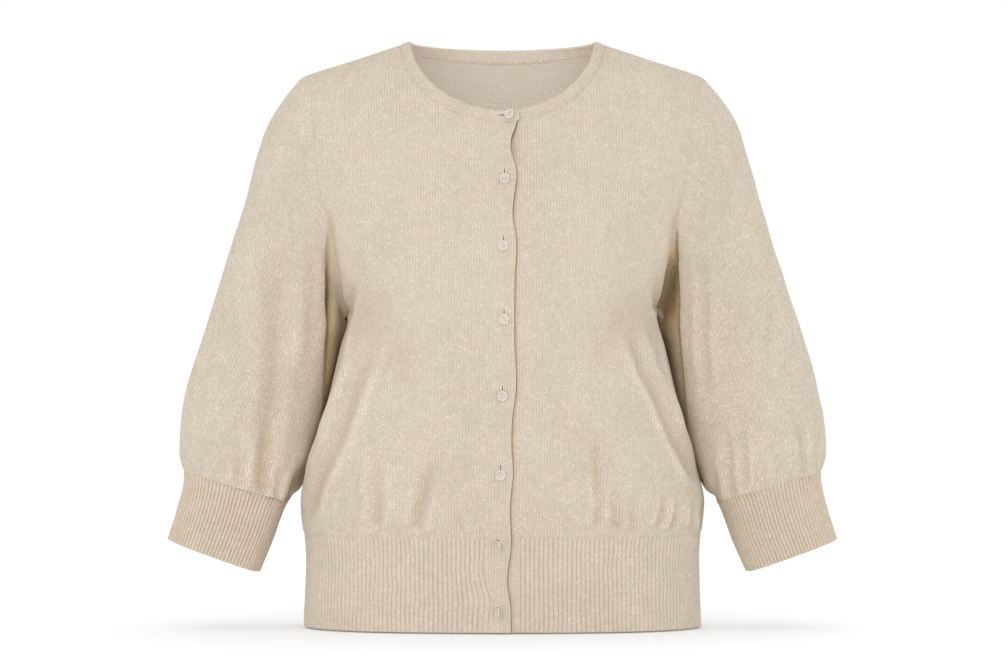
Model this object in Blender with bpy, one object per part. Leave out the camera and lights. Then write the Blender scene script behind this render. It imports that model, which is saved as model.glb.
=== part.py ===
"""A fine-knit cardigan with three-quarter sleeves, filled out as it is worn, with no wearer.

Metres, +Z up, the front faces -Y. The origin is the middle of the neck, level with the
highest points of the shoulders, where a wearer's shoulders carry the cardigan. The wearer's
right is -X. The wearer's right front laps over the left one, and eight buttons close it.

The body is a stack of rounded level sections, the sleeves are rings from the armhole down.
Each knitted piece is a grid of points on those surfaces with a wall inside it, and it stands
a seam gap away from its neighbours.
"""

from collections import namedtuple
from math import pi, radians

import bmesh
import bpy
import numpy as np
from mathutils import Matrix, Vector

# ---------------------------------------------------------------- driving dimensions

HEM_DROP = 0.594            # shoulder points down to the hem
HEM_RIB = 0.094             # depth of the ribbed hem
NECK_HALF_WIDTH = 0.093     # middle to the neck band's free edge on the shoulder
NECK_FRONT_DROP = 0.0747    # shoulder points down to the band's edge at the centre front
NECK_BACK_DROP = 0.004      # the same at the centre back
NECK_BAND = 0.0118          # width of the neck band
SHOULDER_RUN = 3.0          # run of the shoulder seam for each unit that it falls

JERSEY_WALL = 0.0020        # plain knit
RIB_WALL = 0.0026           # ribbed knit
BAND_WALL = 0.0021          # plackets and neck band
SEAM_GAP = 0.0003           # between two pieces at a seam

PLACKET_SEAM = 0.0155       # centre front to a placket's seam
UNDER_LAP = 0.0125          # how far the button band reaches past the centre front
NECK_BAND_LAP = 0.0165      # how far the neck band's upper end reaches past it
LAP_LIFT = BAND_WALL + 0.0004   # the right front stands this far outside the left one
LAP_FADE = 0.060            # width over which the right front rises to that

BUTTON_RADIUS = 0.00525
BUTTON_THICKNESS = 0.0022
THREAD_RADIUS = 0.0006
BUTTONHOLE_LENGTH = 0.0125
BUTTONHOLE_WIDTH = 0.0022
CAUGHT_HOLE_WIDTH = 0.0036  # spread open by a button that stands in it

BODY_ROUNDNESS = 2.4        # exponent of a body section, where 2 is an ellipse
SLEEVE_ROUNDNESS = 2.15
SLEEVE_FOLD_EDGE = 1.5      # added where the sleeve turns in towards the body
NECK_ROUNDNESS = 1.85

# Steps along the seams. Pieces that share a seam share its points.
SIDE_STEPS = 8
ARMHOLE_STEPS = 11
ARMHOLE_CROWDING = 1.35     # above 1, the armhole's steps crowd towards the shoulder tip
SHOULDER_STEPS = 5
FRONT_NECK_STEPS = 8
BACK_NECK_STEPS = 10
SLEEVE_STEPS = 11
HEAD_CROWDING = 1.25        # above 1, the sleeve's rings crowd towards the armhole
CUFF_STEPS = 2
HEM_STEPS = 2
LAP_STEPS = 3
PLACKET_COLUMNS = 3
BUTTON_SIDES = 12

# ---------------------------------------------------------------- tables

# Level sections of the body: half width, and depth in front of and behind the shoulder seam.
# Above the underarm the half width is that of the whole rounded shoulder, which the armhole
# cuts; above the shoulder tip it is the shoulder seam's own line.
Body = namedtuple("Body", "z half_width front back")
BODY = (
    Body(-0.594, 0.2018, 0.1120, 0.1040),
    Body(-0.546, 0.2000, 0.1120, 0.1000),
    Body(-0.518, 0.2000, 0.1120, 0.0985),
    Body(-0.503, 0.2015, 0.1130, 0.0985),
    Body(-0.489, 0.2043, 0.1165, 0.1020),
    Body(-0.472, 0.2053, 0.1190, 0.1045),
    Body(-0.436, 0.1985, 0.1205, 0.1020),
    Body(-0.395, 0.1865, 0.1225, 0.0960),
    Body(-0.344, 0.1728, 0.1280, 0.0925),
    Body(-0.311, 0.1650, 0.1315, 0.0950),
    Body(-0.279, 0.1580, 0.1335, 0.0985),
    Body(-0.262, 0.1655, 0.1335, 0.0995),
    Body(-0.240, 0.1800, 0.1320, 0.1005),
    Body(-0.200, 0.2030, 0.1260, 0.1020),
    Body(-0.150, 0.2240, 0.1120, 0.1010),
    Body(-0.100, 0.2360, 0.0940, 0.0920),
    Body(-0.060, 0.2320, 0.0775, 0.0810),
    Body(-0.037, 0.2040, 0.0670, 0.0740),
    Body(-0.018, 0.1470, 0.0585, 0.0670),
    Body(0.000, 0.0930, 0.0450, 0.0600),
    Body(0.004, 0.0810, 0.0400, 0.0580),
)

# The armhole seam from the shoulder tip down to the underarm, seen from the front.
Armhole = namedtuple("Armhole", "x z")
ARMHOLE = (
    Armhole(0.2040, -0.037),
    Armhole(0.2010, -0.046),
    Armhole(0.1945, -0.075),
    Armhole(0.1885, -0.118),
    Armhole(0.1815, -0.160),
    Armhole(0.1755, -0.200),
    Armhole(0.1685, -0.240),
    Armhole(0.1620, -0.265),
    Armhole(0.1580, -0.279),
)

# Rings of the sleeve and cuff: the ring's outer and inner ends seen from the front, how far
# back its inner end lies, and its depth in front of and behind its middle line.
Ring = namedtuple("Ring", "outer_x outer_z inner_x inner_z inner_y front back")
SLEEVE = (
    Ring(0.2040, -0.0370, 0.1580, -0.2790, 0.000, 0.0740, 0.0740),
    Ring(0.2190, -0.0545, 0.1602, -0.2806, 0.003, 0.0715, 0.0720),
    Ring(0.2333, -0.0754, 0.1610, -0.2830, 0.008, 0.0685, 0.0695),
    Ring(0.2496, -0.1180, 0.1617, -0.2905, 0.019, 0.0640, 0.0640),
    Ring(0.2618, -0.1610, 0.1633, -0.3012, 0.027, 0.0610, 0.0590),
    Ring(0.2790, -0.2180, 0.1665, -0.3190, 0.032, 0.0590, 0.0550),
    Ring(0.2924, -0.2610, 0.1700, -0.3370, 0.034, 0.0575, 0.0520),
    Ring(0.3066, -0.3036, 0.1750, -0.3590, 0.035, 0.0560, 0.0500),
    Ring(0.3188, -0.3450, 0.1815, -0.3830, 0.035, 0.0550, 0.0490),
    Ring(0.3265, -0.3830, 0.1885, -0.4090, 0.033, 0.0540, 0.0490),
    Ring(0.3290, -0.4105, 0.1970, -0.4340, 0.029, 0.0530, 0.0490),
    Ring(0.3285, -0.4240, 0.2085, -0.4570, 0.022, 0.0500, 0.0470),
    Ring(0.3248, -0.4360, 0.2180, -0.4676, 0.014, 0.0460, 0.0440),
    Ring(0.3262, -0.4560, 0.2262, -0.4850, 0.012, 0.0430, 0.0420),
    Ring(0.3310, -0.4740, 0.2325, -0.5030, 0.010, 0.0410, 0.0405),
    Ring(0.3413, -0.5060, 0.2480, -0.5395, 0.006, 0.0385, 0.0385),
)
CUFF_RING = 12              # the row of SLEEVE where the cuff is sewn on

# Largest folds: soft troughs from one point to another, seen from the front.
Fold = namedtuple("Fold", "x0 z0 x1 z1 half_width depth")
BODY_FOLDS = (
    Fold(0.1790, -0.175, 0.1690, -0.262, 0.008, 0.0070),
    Fold(0.1450, -0.262, 0.0900, -0.330, 0.022, 0.0030),
)
SLEEVE_FOLDS = (
    Fold(0.2180, -0.150, 0.2330, -0.320, 0.020, 0.0045),
)

# The free edge of the buttonhole band, measured from the centre front, and how far it gapes.
Edge = namedtuple("Edge", "z reach gape")
LAP_EDGE = (
    Edge(-0.594, 0.0082, 0.0000),
    Edge(-0.568, 0.0078, 0.0000),
    Edge(-0.543, 0.0045, 0.0006),
    Edge(-0.505, 0.0087, 0.0000),
    Edge(-0.474, 0.0072, 0.0004),
    Edge(-0.432, 0.0103, 0.0000),
    Edge(-0.410, 0.0090, 0.0004),
    Edge(-0.379, 0.0099, 0.0004),
    Edge(-0.358, 0.0128, 0.0000),
    Edge(-0.300, 0.0118, 0.0000),
    Edge(-0.240, 0.0122, 0.0004),
    Edge(-0.209, 0.0137, 0.0000),
    Edge(-0.180, 0.0100, 0.0008),
    Edge(-0.155, 0.0125, 0.0004),
    Edge(-0.143, 0.0140, 0.0000),
    Edge(-0.132, 0.0125, 0.0010),
    Edge(-0.116, 0.0083, 0.0040),
    Edge(-0.104, 0.0090, 0.0036),
    Edge(-0.094, 0.0125, 0.0012),
    Edge(-0.086, 0.0150, 0.0000),
)

# Buttons from the top: place, and how far each is turned about its upright middle line.
Button = namedtuple("Button", "x z turn")
BUTTONS = (
    Button(0.0066, -0.0802, -30.0),
    Button(0.0019, -0.1443, 0.0),
    Button(0.0008, -0.2106, 0.0),
    Button(0.0015, -0.2827, 0.0),
    Button(0.0000, -0.3583, 0.0),
    Button(-0.0020, -0.4370, 0.0),
    Button(-0.0048, -0.5066, -68.0),
    Button(-0.0053, -0.5740, -68.0),
)

Look = namedtuple("Look", "colour roughness metallic")
JERSEY = Look((0.70, 0.61, 0.50), 0.85, 0.05)
RIB = Look((0.64, 0.55, 0.43), 0.88, 0.05)
PEARL = Look((0.80, 0.76, 0.70), 0.25, 0.0)

# ---------------------------------------------------------------- reading the tables


def column(table, name):
    """One named column of a table, as an array."""
    return np.array([getattr(row, name) for row in table])


def through(stations, values, at):
    """A smooth curve through values at rising stations (cubic Hermite), read at `at`."""
    slopes = np.gradient(values, stations)
    span = np.clip(np.searchsorted(stations, at, side="right") - 1, 0, len(stations) - 2)
    width = stations[span + 1] - stations[span]
    t = (at - stations[span]) / width
    start = values[span] * (1 + 2 * t) * (1 - t) ** 2
    stop = values[span + 1] * t ** 2 * (3 - 2 * t)
    leave = slopes[span] * width * t * (1 - t) ** 2
    arrive = slopes[span + 1] * width * t ** 2 * (t - 1)
    return start + stop + leave + arrive


def read(table, name, z):
    """A column of a table whose rows rise in z, read at the heights z."""
    return through(column(table, "z"), column(table, name), np.asarray(z, dtype=float))


def power(value, exponent):
    """A power that keeps its base's sign, for rounded sections."""
    return np.sign(value) * np.abs(value) ** exponent


def unit(vectors):
    """Vectors scaled to length one."""
    return vectors / np.linalg.norm(vectors, axis=-1, keepdims=True)


def run_length(points):
    """Length along a line of points, from its start to each point."""
    steps = np.linalg.norm(np.diff(points, axis=0), axis=-1)
    return np.concatenate([[0.0], np.cumsum(steps)])


def shares(points):
    """The same from 0 to 1."""
    length = run_length(points)
    return length / length[-1]


def ease(value):
    """Zero to one with level ends, for value from 0 to 1."""
    t = np.clip(value, 0.0, 1.0)
    return t * t * (3 - 2 * t)


def trough(x, z, folds):
    """Depth of the soft folds at points seen from the front."""
    depth = np.zeros(np.broadcast(x, z).shape)
    for fold in folds:
        run_x = fold.x1 - fold.x0
        run_z = fold.z1 - fold.z0
        length = run_x ** 2 + run_z ** 2
        along = ((np.abs(x) - fold.x0) * run_x + (z - fold.z0) * run_z) / length
        across = ((np.abs(x) - fold.x0) * run_z - (z - fold.z0) * run_x) / length ** 0.5
        ends = ease((along + 0.25) * 2) * ease((1.25 - along) * 2)
        depth += fold.depth * ends * np.exp(-(across / fold.half_width) ** 2)
    return depth


# ---------------------------------------------------------------- the body's surface


def section(angle, z):
    """Outer face of the body. Angle 0 is the centre front, a quarter turn the +X side seam."""
    exponent = 2 / BODY_ROUNDNESS
    depth = np.where(np.cos(angle) >= 0, read(BODY, "front", z), read(BODY, "back", z))
    x = read(BODY, "half_width", z) * power(np.sin(angle), exponent)
    y = -depth * power(np.cos(angle), exponent)
    return np.stack(np.broadcast_arrays(x, y, z), axis=-1)


def outward(angle, z):
    """The body's outward direction, from small steps round the section and up it."""
    step = 1e-4
    turn = section(angle + step, z) - section(angle - step, z)
    rise = section(angle, z + step) - section(angle, z - step)
    return unit(np.cross(turn, rise))


def angle_at(x, z):
    """The front angle whose point has this x."""
    ratio = np.clip(x / read(BODY, "half_width", z), -1.0, 1.0)
    return np.arcsin(power(ratio, BODY_ROUNDNESS / 2))


def lap(x):
    """How far the right front stands outside the left one, across its width."""
    return LAP_LIFT * ease((x + PLACKET_SEAM + LAP_FADE) / LAP_FADE)


def body_wall(angle, z, wall, lift=0.0):
    """Outer and inner points of a body piece, moved out by lift and in by the folds."""
    normal = outward(angle, z)
    plain = section(angle, z)
    front = np.cos(angle) > 0
    relief = lift - np.where(front, 1.0, 0.6) * trough(plain[..., 0], plain[..., 2], BODY_FOLDS)
    outer = plain + normal * relief[..., None]
    return outer, outer - normal * wall


def neckline(turn, reach):
    """Angle and height of a curve round the neck, `reach` outside the band's free edge.

    turn is 0 at the centre front, a quarter at the +X shoulder and a half at the back.
    """
    exponent = 2 / NECK_ROUNDNESS
    fall = reach / (1 + SHOULDER_RUN ** 2) ** 0.5
    half_width = NECK_HALF_WIDTH + fall * SHOULDER_RUN
    front = np.cos(turn) >= 0
    front_fall = (NECK_FRONT_DROP + reach - fall) * np.abs(np.cos(turn)) ** exponent
    back_fall = (NECK_BACK_DROP + reach - fall) * np.cos(turn) ** 2
    z = -fall - np.where(front, front_fall, back_fall)
    x = half_width * power(np.sin(turn), np.where(front, exponent, 1.0))
    angle = angle_at(x, z)
    return np.where(front, angle, pi - angle), z


def neck_turn(x, reach):
    """The front turn at which the curve round the neck has this x."""
    half_width = NECK_HALF_WIDTH + reach * SHOULDER_RUN / (1 + SHOULDER_RUN ** 2) ** 0.5
    return np.arcsin(power(x / half_width, NECK_ROUNDNESS / 2))


def neck_steps(start, stop, steps):
    """Turns that cut the neck seam into stretches of equal length."""
    fine = np.linspace(start, stop, 600)
    length = run_length(section(*neckline(fine, NECK_BAND)))
    return np.interp(np.linspace(0, length[-1], steps + 1), length, fine)


def armhole_share(steps):
    """Shares of the armhole's length from the shoulder tip, close together near the tip."""
    return np.linspace(0, 1, steps + 1) ** ARMHOLE_CROWDING


def armhole(steps, back=False):
    """Angle and height of the armhole seam at +X, from the underarm up to the shoulder tip."""
    z = column(ARMHOLE, "z")
    angle = angle_at(column(ARMHOLE, "x"), z)
    angle[[0, -1]] = pi / 2
    angle = np.concatenate([[pi - angle[1]], angle, [pi - angle[-2]]])
    z = np.concatenate([[z[1]], z, [z[-2]]])
    if back:
        angle = pi - angle
    rows = run_length(section(angle, z))
    fine = np.linspace(rows[1], rows[-2], 600)
    seam = np.stack([through(rows, angle, fine), through(rows, z, fine)], axis=-1)
    length = run_length(section(seam[:, 0], seam[:, 1]))
    stops = length[-1] * armhole_share(steps)[::-1]
    return np.stack([np.interp(stops, length, seam[:, 0]), np.interp(stops, length, seam[:, 1])], -1)


def level_arc(angle, z, back):
    """Length along level sections from the centre front or back to an angle measured from it."""
    share = np.linspace(0, 1, 200)
    fine = angle[..., None] * share
    height = z[..., None] + 0 * share
    points = section(pi - fine if back else fine, height)
    return np.linalg.norm(np.diff(points, axis=-2), axis=-1).sum(axis=-1)


def angle_along(arc, z, back):
    """The angle from the centre whose level arc is this long: level_arc turned round."""
    low = np.zeros(arc.shape)
    high = np.full(arc.shape, pi / 2)
    for _ in range(30):
        middle = (low + high) / 2
        short = level_arc(middle, z, back) < np.abs(arc)
        low = np.where(short, middle, low)
        high = np.where(short, high, middle)
    return np.sign(arc) * high


def side_edge(back=False):
    """Angle and height up a panel's +X edge: side seam, armhole, shoulder tip."""
    hem = -HEM_DROP + HEM_RIB + SEAM_GAP
    underarm = ARMHOLE[-1].z
    seam_z = np.linspace(hem, underarm, SIDE_STEPS + 1)[:-1]
    seam = np.stack([np.full(SIDE_STEPS, pi / 2), seam_z], axis=-1)
    return np.concatenate([seam, armhole(ARMHOLE_STEPS, back)])


def shoulder_edge():
    """Angle and height from the neck seam out to the shoulder tip."""
    neck_z = -NECK_BAND / (1 + SHOULDER_RUN ** 2) ** 0.5
    z = np.linspace(neck_z - SEAM_GAP / 3, ARMHOLE[0].z, SHOULDER_STEPS + 1)
    return np.stack([np.full(SHOULDER_STEPS + 1, pi / 2), z], axis=-1)


def panel(bottom, top, left, right, back):
    """A grid of angles and heights between four edges, blended as on the flat cloth.

    The edges' angles become level arcs. Each point lies between the bottom and the top, moved
    by how far the left and right edges bow off a straight line, which fades with the square of
    the distance from them. Angles are from the centre front, or back, with their sign.
    """
    def flatten(edge):
        arc = np.sign(edge[:, 0]) * level_arc(np.abs(edge[:, 0]), edge[:, 1], back)
        return np.stack([arc, edge[:, 1]], axis=-1)

    t = shares(section(pi - right[:, 0] if back else right[:, 0], right[:, 1]))[:, None, None]
    bottom, top, left, right = (flatten(edge) for edge in (bottom, top, left, right))
    s = np.linspace(0, 1, len(bottom))[None, :, None]
    left_bow = left[:, None] - left[0] * (1 - t) - left[-1] * t
    right_bow = right[:, None] - right[0] * (1 - t) - right[-1] * t
    cloth = bottom * (1 - t) + top * t + left_bow * (1 - s) ** 2 + right_bow * s ** 2
    angle = angle_along(cloth[..., 0], cloth[..., 1], back)
    return (pi - angle if back else angle), cloth[..., 1]


# ---------------------------------------------------------------- making solids


def grid_faces(rows, columns, closed=False):
    """Quads of a grid of points, counted row by row; closed joins its last column to its first."""
    row, col = np.meshgrid(np.arange(rows - 1), np.arange(columns - (not closed)), indexing="ij")
    here = row * columns + col
    beside = row * columns + (col + 1) % columns
    return np.stack([here, beside, beside + columns, here + columns], axis=-1).reshape(-1, 4)


def add_object(name, mesh, look):
    """Link a mesh as a named object with its own material."""
    colour, roughness, metallic = look
    material = bpy.data.materials.new(name)
    material.use_nodes = True
    shader = material.node_tree.nodes["Principled BSDF"]
    shader.inputs["Base Color"].default_value = (*colour, 1.0)
    shader.inputs["Roughness"].default_value = roughness
    shader.inputs["Metallic"].default_value = metallic
    mesh.materials.append(material)
    item = bpy.data.objects.new(name, mesh)
    bpy.context.scene.collection.objects.link(item)
    return item


def knit(name, outer, inner, look, closed=False):
    """A wall between an outer and an inner grid of points, closed along its edges."""
    rows, columns = outer.shape[:2]
    count = rows * columns
    faces = grid_faces(rows, columns, closed)
    edges = np.concatenate([faces[:, [k, (k + 1) % 4]] for k in range(4)])
    key = np.sort(edges, axis=1)
    _, where, uses = np.unique(key, axis=0, return_index=True, return_counts=True)
    rim = edges[where[uses == 1]]
    rim = np.stack([rim[:, 1], rim[:, 0], rim[:, 0] + count, rim[:, 1] + count], axis=-1)
    points = np.concatenate([outer.reshape(-1, 3), inner.reshape(-1, 3)])
    quads = np.concatenate([faces, faces[:, ::-1] + count, rim])
    mesh = bpy.data.meshes.new(name)
    mesh.from_pydata(points.tolist(), [], quads.tolist())
    mesh.shade_smooth()
    mesh.set_sharp_from_angle(angle=radians(50))
    item = add_object(name, mesh, look)
    if shell_volume(mesh) < 0:
        mesh.flip_normals()
    return item


def shell_volume(mesh):
    """Signed volume inside a closed mesh, positive where its faces point out."""
    solid = bmesh.new()
    solid.from_mesh(mesh)
    volume = solid.calc_volume(signed=True)
    solid.free()
    return volume


def hide_tool(item):
    """Keep a cutter or a guide out of the model."""
    item.hide_render = True
    item.display_type = "WIRE"


def combine(item, other, operation):
    """Add or cut with another object, which is hidden."""
    modifier = item.modifiers.new(operation.lower(), "BOOLEAN")
    modifier.operation = operation
    modifier.object = other
    hide_tool(other)


def mirrored(points):
    """Points on the other side of the centre."""
    return points * np.array([-1.0, 1.0, 1.0])


# ---------------------------------------------------------------- body pieces


def front_grid():
    """Angles and heights of the +X front."""
    hem = -HEM_DROP + HEM_RIB + SEAM_GAP
    start = neck_turn(PLACKET_SEAM + SEAM_GAP, NECK_BAND)
    turns = neck_steps(start, pi / 2, FRONT_NECK_STEPS)
    neck = np.stack(neckline(turns, NECK_BAND + SEAM_GAP / 2), axis=-1)
    top = np.concatenate([neck[:-1], shoulder_edge()])
    outer = side_edge()
    edge_z = hem + (top[0, 1] - hem) * shares(section(outer[:, 0], outer[:, 1]))
    inner = np.stack([angle_at(PLACKET_SEAM + SEAM_GAP, edge_z), edge_z], axis=-1)
    inner[-1] = top[0]
    bottom_angle = np.linspace(inner[0, 0], pi / 2, len(top))
    bottom = np.stack([bottom_angle, np.full(len(top), hem)], axis=-1)
    return panel(bottom, top, inner, outer, back=False)


def back_grid():
    """Angles and heights of the back, from the +X side round to the -X side."""
    hem = -HEM_DROP + HEM_RIB + SEAM_GAP
    from_back = np.array([[-1.0, 1.0]])
    turns = neck_steps(pi / 2, pi, BACK_NECK_STEPS // 2)
    neck = np.stack(neckline(turns, NECK_BAND + SEAM_GAP / 2), axis=-1)
    near = np.concatenate([shoulder_edge()[::-1], neck[1:]]) * from_back + [[pi, 0.0]]
    top = np.concatenate([near, near[-2::-1] * from_back])
    side = side_edge(back=True) * from_back + [[pi, 0.0]]
    bottom_angle = np.linspace(pi / 2, -pi / 2, len(top))
    bottom = np.stack([bottom_angle, np.full(len(top), hem)], axis=-1)
    return panel(bottom, top, side, side * from_back, back=True)


def apart_at_side(points, sign):
    """Points held half a seam gap off the plane of the side and shoulder seams."""
    y = sign * np.maximum(sign * points[..., 1], SEAM_GAP / 2)
    return np.stack([points[..., 0], y, points[..., 2]], axis=-1)


def armhole_ring():
    """Points of the +X armhole seam and their inward step, from the tip round the front."""
    front = armhole(ARMHOLE_STEPS)[::-1]
    back = armhole(ARMHOLE_STEPS, back=True)
    seam = np.concatenate([front, back[1:-1]])
    outer, inner = body_wall(seam[:, 0], seam[:, 1], JERSEY_WALL)
    middle = outer.mean(axis=0)
    inward = unit(unit(inner - outer) + unit(middle - outer))
    return outer, inward


def armhole_step(back):
    """The wall's inward step up a panel's armhole edge, which the sleeve shares."""
    _, inward = armhole_ring()
    if back:
        inward = np.concatenate([inward[ARMHOLE_STEPS:], inward[:1]])
    else:
        inward = inward[ARMHOLE_STEPS::-1]
    return inward * JERSEY_WALL


def build_fronts():
    """Both fronts, made at +X: the right one rises towards its lap and is then mirrored."""
    angle, z = front_grid()
    plain = section(angle, z)
    for name, lift in (("front_left", 0 * z), ("front_right", lap(-plain[..., 0]))):
        outer, inner = body_wall(angle, z, JERSEY_WALL, lift)
        inner[SIDE_STEPS:, -1] = outer[SIDE_STEPS:, -1] + armhole_step(back=False)
        outer, inner = apart_at_side(outer, -1), apart_at_side(inner, -1)
        if name == "front_right":
            outer, inner = mirrored(outer), mirrored(inner)
        knit(name, outer, inner, JERSEY)


def build_back():
    """The back in one piece."""
    outer, inner = body_wall(*back_grid(), JERSEY_WALL)
    step = armhole_step(back=True)
    inner[SIDE_STEPS:, 0] = outer[SIDE_STEPS:, 0] + step
    inner[SIDE_STEPS:, -1] = outer[SIDE_STEPS:, -1] + mirrored(step)
    knit("back", apart_at_side(outer, 1), apart_at_side(inner, 1), JERSEY)


def build_hem():
    """The ribbed hem in three pieces, sewn at the side seams."""
    z = np.linspace(-HEM_DROP, -HEM_DROP + HEM_RIB, HEM_STEPS + 1)[:, None]
    share = np.linspace(0, 1, FRONT_NECK_STEPS + SHOULDER_STEPS + 1)[None]
    angle = angle_at(PLACKET_SEAM + SEAM_GAP, z) * (1 - share) + pi / 2 * share
    x = section(angle, z + 0 * angle)[..., 0]
    for name, lift in (("hem_front_left", 0 * x), ("hem_front_right", lap(-x))):
        outer, inner = body_wall(angle, z + 0 * angle, RIB_WALL, lift)
        outer, inner = apart_at_side(outer, -1), apart_at_side(inner, -1)
        if name == "hem_front_right":
            outer, inner = mirrored(outer), mirrored(inner)
        knit(name, outer, inner, RIB)
    columns = BACK_NECK_STEPS + 2 * SHOULDER_STEPS
    angle = np.linspace(pi / 2, 3 * pi / 2, columns + 1)[None] + 0 * z
    outer, inner = body_wall(angle, z + 0 * angle, RIB_WALL)
    knit("hem_back", apart_at_side(outer, 1), apart_at_side(inner, 1), RIB)


# ---------------------------------------------------------------- sleeves


def sleeve_stations():
    """Distance down the sleeve's middle line at each row of its table."""
    names = ("outer_x", "outer_z", "inner_x", "inner_z")
    outer_x, outer_z, inner_x, inner_z = (column(SLEEVE, name) for name in names)
    return run_length(np.stack([outer_x + inner_x, outer_z + inner_z], axis=-1) / 2)


def sleeve_rings(at, around):
    """Ring points of the +X sleeve at distances `at`; around is 0 outside, then the front."""
    stations = sleeve_stations()
    at = np.asarray(at)[:, None]
    turn_in = np.clip(-np.sin(2 * around), 0, None) * (np.sin(around) > 0)
    exponent = 2 / (SLEEVE_ROUNDNESS + SLEEVE_FOLD_EDGE * turn_in)
    reach = power(np.cos(around), exponent)[None]
    side = power(np.sin(around), exponent)[None]
    out_x, out_z, in_x, in_z, in_y, front, back = (
        through(stations, column(SLEEVE, name), at) for name in Ring._fields)
    x = (out_x + in_x) / 2 + (out_x - in_x) / 2 * reach
    z = (out_z + in_z) / 2 + (out_z - in_z) / 2 * reach
    y = in_y / 2 * (1 - reach) - np.where(side > 0, front, back) * side
    rings = np.stack([x, y, z], axis=-1)
    middle = np.stack([out_x + in_x, in_y, out_z + in_z], axis=-1) / 2
    return rings, unit(middle - rings)


def build_sleeves():
    """Sleeves from the armhole to the cuff seam, and the ribbed cuffs below it."""
    stations = sleeve_stations()
    seam = stations[CUFF_RING]
    down = pi * armhole_share(ARMHOLE_STEPS)
    around = np.concatenate([down, 2 * pi - down[-2:0:-1]])
    at = np.linspace(0, 1, SLEEVE_STEPS + 1) ** HEAD_CROWDING * (seam - SEAM_GAP / 2)
    rings, inward = sleeve_rings(at, around)
    ring, ring_inward = armhole_ring()
    fade = ease(1 - at / (0.45 * seam))[:, None, None]
    rings = rings + (ring - rings[0])[None] * fade
    front = rings[..., 1] < 0
    dent = trough(rings[..., 0], rings[..., 2], SLEEVE_FOLDS) * np.where(front, 1.0, 0.5)
    dent[0] = 0.0
    rings = rings + inward * dent[..., None]
    inward[0] = ring_inward
    seam_run = np.roll(ring, -1, axis=0) - np.roll(ring, 1, axis=0)
    apart = unit(np.cross(ring_inward, seam_run))
    apart *= np.sign((apart * (rings[1] - rings[0])).sum())
    rings[0] += apart * SEAM_GAP
    inner = rings + inward * JERSEY_WALL
    cuff_at = np.linspace(seam + SEAM_GAP / 2, stations[-1], CUFF_STEPS + 1)
    cuff, cuff_inward = sleeve_rings(cuff_at, around)
    cuff_inner = cuff + cuff_inward * RIB_WALL
    for side in ("left", "right"):
        turn = mirrored if side == "right" else np.array
        knit(f"sleeve_{side}", turn(rings), turn(inner), JERSEY, closed=True)
        knit(f"cuff_{side}", turn(cuff), turn(cuff_inner), RIB, closed=True)


# ---------------------------------------------------------------- bands


def lap_gape(x, z):
    """How far the buttonhole band gapes, from nothing at its seam to most at its free edge."""
    share = np.clip((x + PLACKET_SEAM) / (2 * PLACKET_SEAM), 0.0, None)
    return read(LAP_EDGE, "gape", z) * share ** 2


def build_plackets():
    """The button band, and over it the buttonhole band with its upright buttonholes."""
    edge_z = column(LAP_EDGE, "z")
    rise = (edge_z - edge_z[0]) / (edge_z[-1] - edge_z[0])
    rise = np.sort(np.concatenate([rise, (rise[1:] + rise[:-1]) / 2]))[:, None]
    share = np.linspace(0, 1, PLACKET_COLUMNS + 1)[None]

    def height(x):
        """Rows from the hem up to the neck seam, which curves."""
        top = neckline(neck_turn(x, NECK_BAND), NECK_BAND + SEAM_GAP / 2)[1]
        return -HEM_DROP + (top + HEM_DROP) * rise

    x = -UNDER_LAP * (1 - share) + PLACKET_SEAM * share + 0 * rise
    z = height(x)
    outer, inner = body_wall(angle_at(x, z), z, BAND_WALL)
    knit("placket_left", outer, inner, JERSEY)
    reach = read(LAP_EDGE, "reach", edge_z[0] + (edge_z[-1] - edge_z[0]) * rise)
    x = -PLACKET_SEAM * (1 - share) + reach * share
    z = height(x)
    gape = lap_gape(x, z)
    outer, inner = body_wall(angle_at(x, z), z, BAND_WALL, LAP_LIFT + gape)
    placket = knit("placket_right", outer, inner, JERSEY)
    combine(placket, buttonhole_cutter(), "DIFFERENCE")


def build_neck_band():
    """One strip round the neck, from its upper end past the centre to its lower end."""
    seam_turn = neck_turn(PLACKET_SEAM + SEAM_GAP, NECK_BAND)
    upper_end = neck_turn(NECK_BAND_LAP, NECK_BAND)
    lower_end = neck_turn(UNDER_LAP, NECK_BAND)
    stretches = (
        np.linspace(upper_end, -seam_turn, LAP_STEPS + 1),
        -neck_steps(seam_turn, pi / 2, FRONT_NECK_STEPS),
        -neck_steps(pi / 2, 3 * pi / 2, BACK_NECK_STEPS),
        neck_steps(seam_turn, pi / 2, FRONT_NECK_STEPS)[::-1] - 2 * pi,
        np.linspace(seam_turn, -lower_end, LAP_STEPS + 1) - 2 * pi,
    )
    turns = np.concatenate([stretch[:-1] for stretch in stretches[:-1]] + [stretches[-1]])
    over = turns > -pi
    rows = []
    for reach in (NECK_BAND - SEAM_GAP / 2, 0.0):
        angle, z = neckline(turns, reach)
        x = section(angle, z)[..., 0]
        rows.append(body_wall(angle, z, BAND_WALL, np.where(over, lap(x), 0.0)))
    outer = np.stack([row[0] for row in rows])
    inner = np.stack([row[1] for row in rows])
    band = knit("neck_band", outer, inner, JERSEY)
    combine(band, neck_buttonhole_cutter(), "DIFFERENCE")


# ---------------------------------------------------------------- buttons and buttonholes


def button_seat(button):
    """Where a button's thread meets the upper band's outer face, and that face's direction."""
    x, z = np.array([button.x]), np.array([button.z])
    angle = angle_at(x, z)
    outer, _ = body_wall(angle, z, BAND_WALL, LAP_LIFT + 0.0 * x)
    return Vector(outer[0]), Vector(outward(angle, z)[0])


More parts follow.
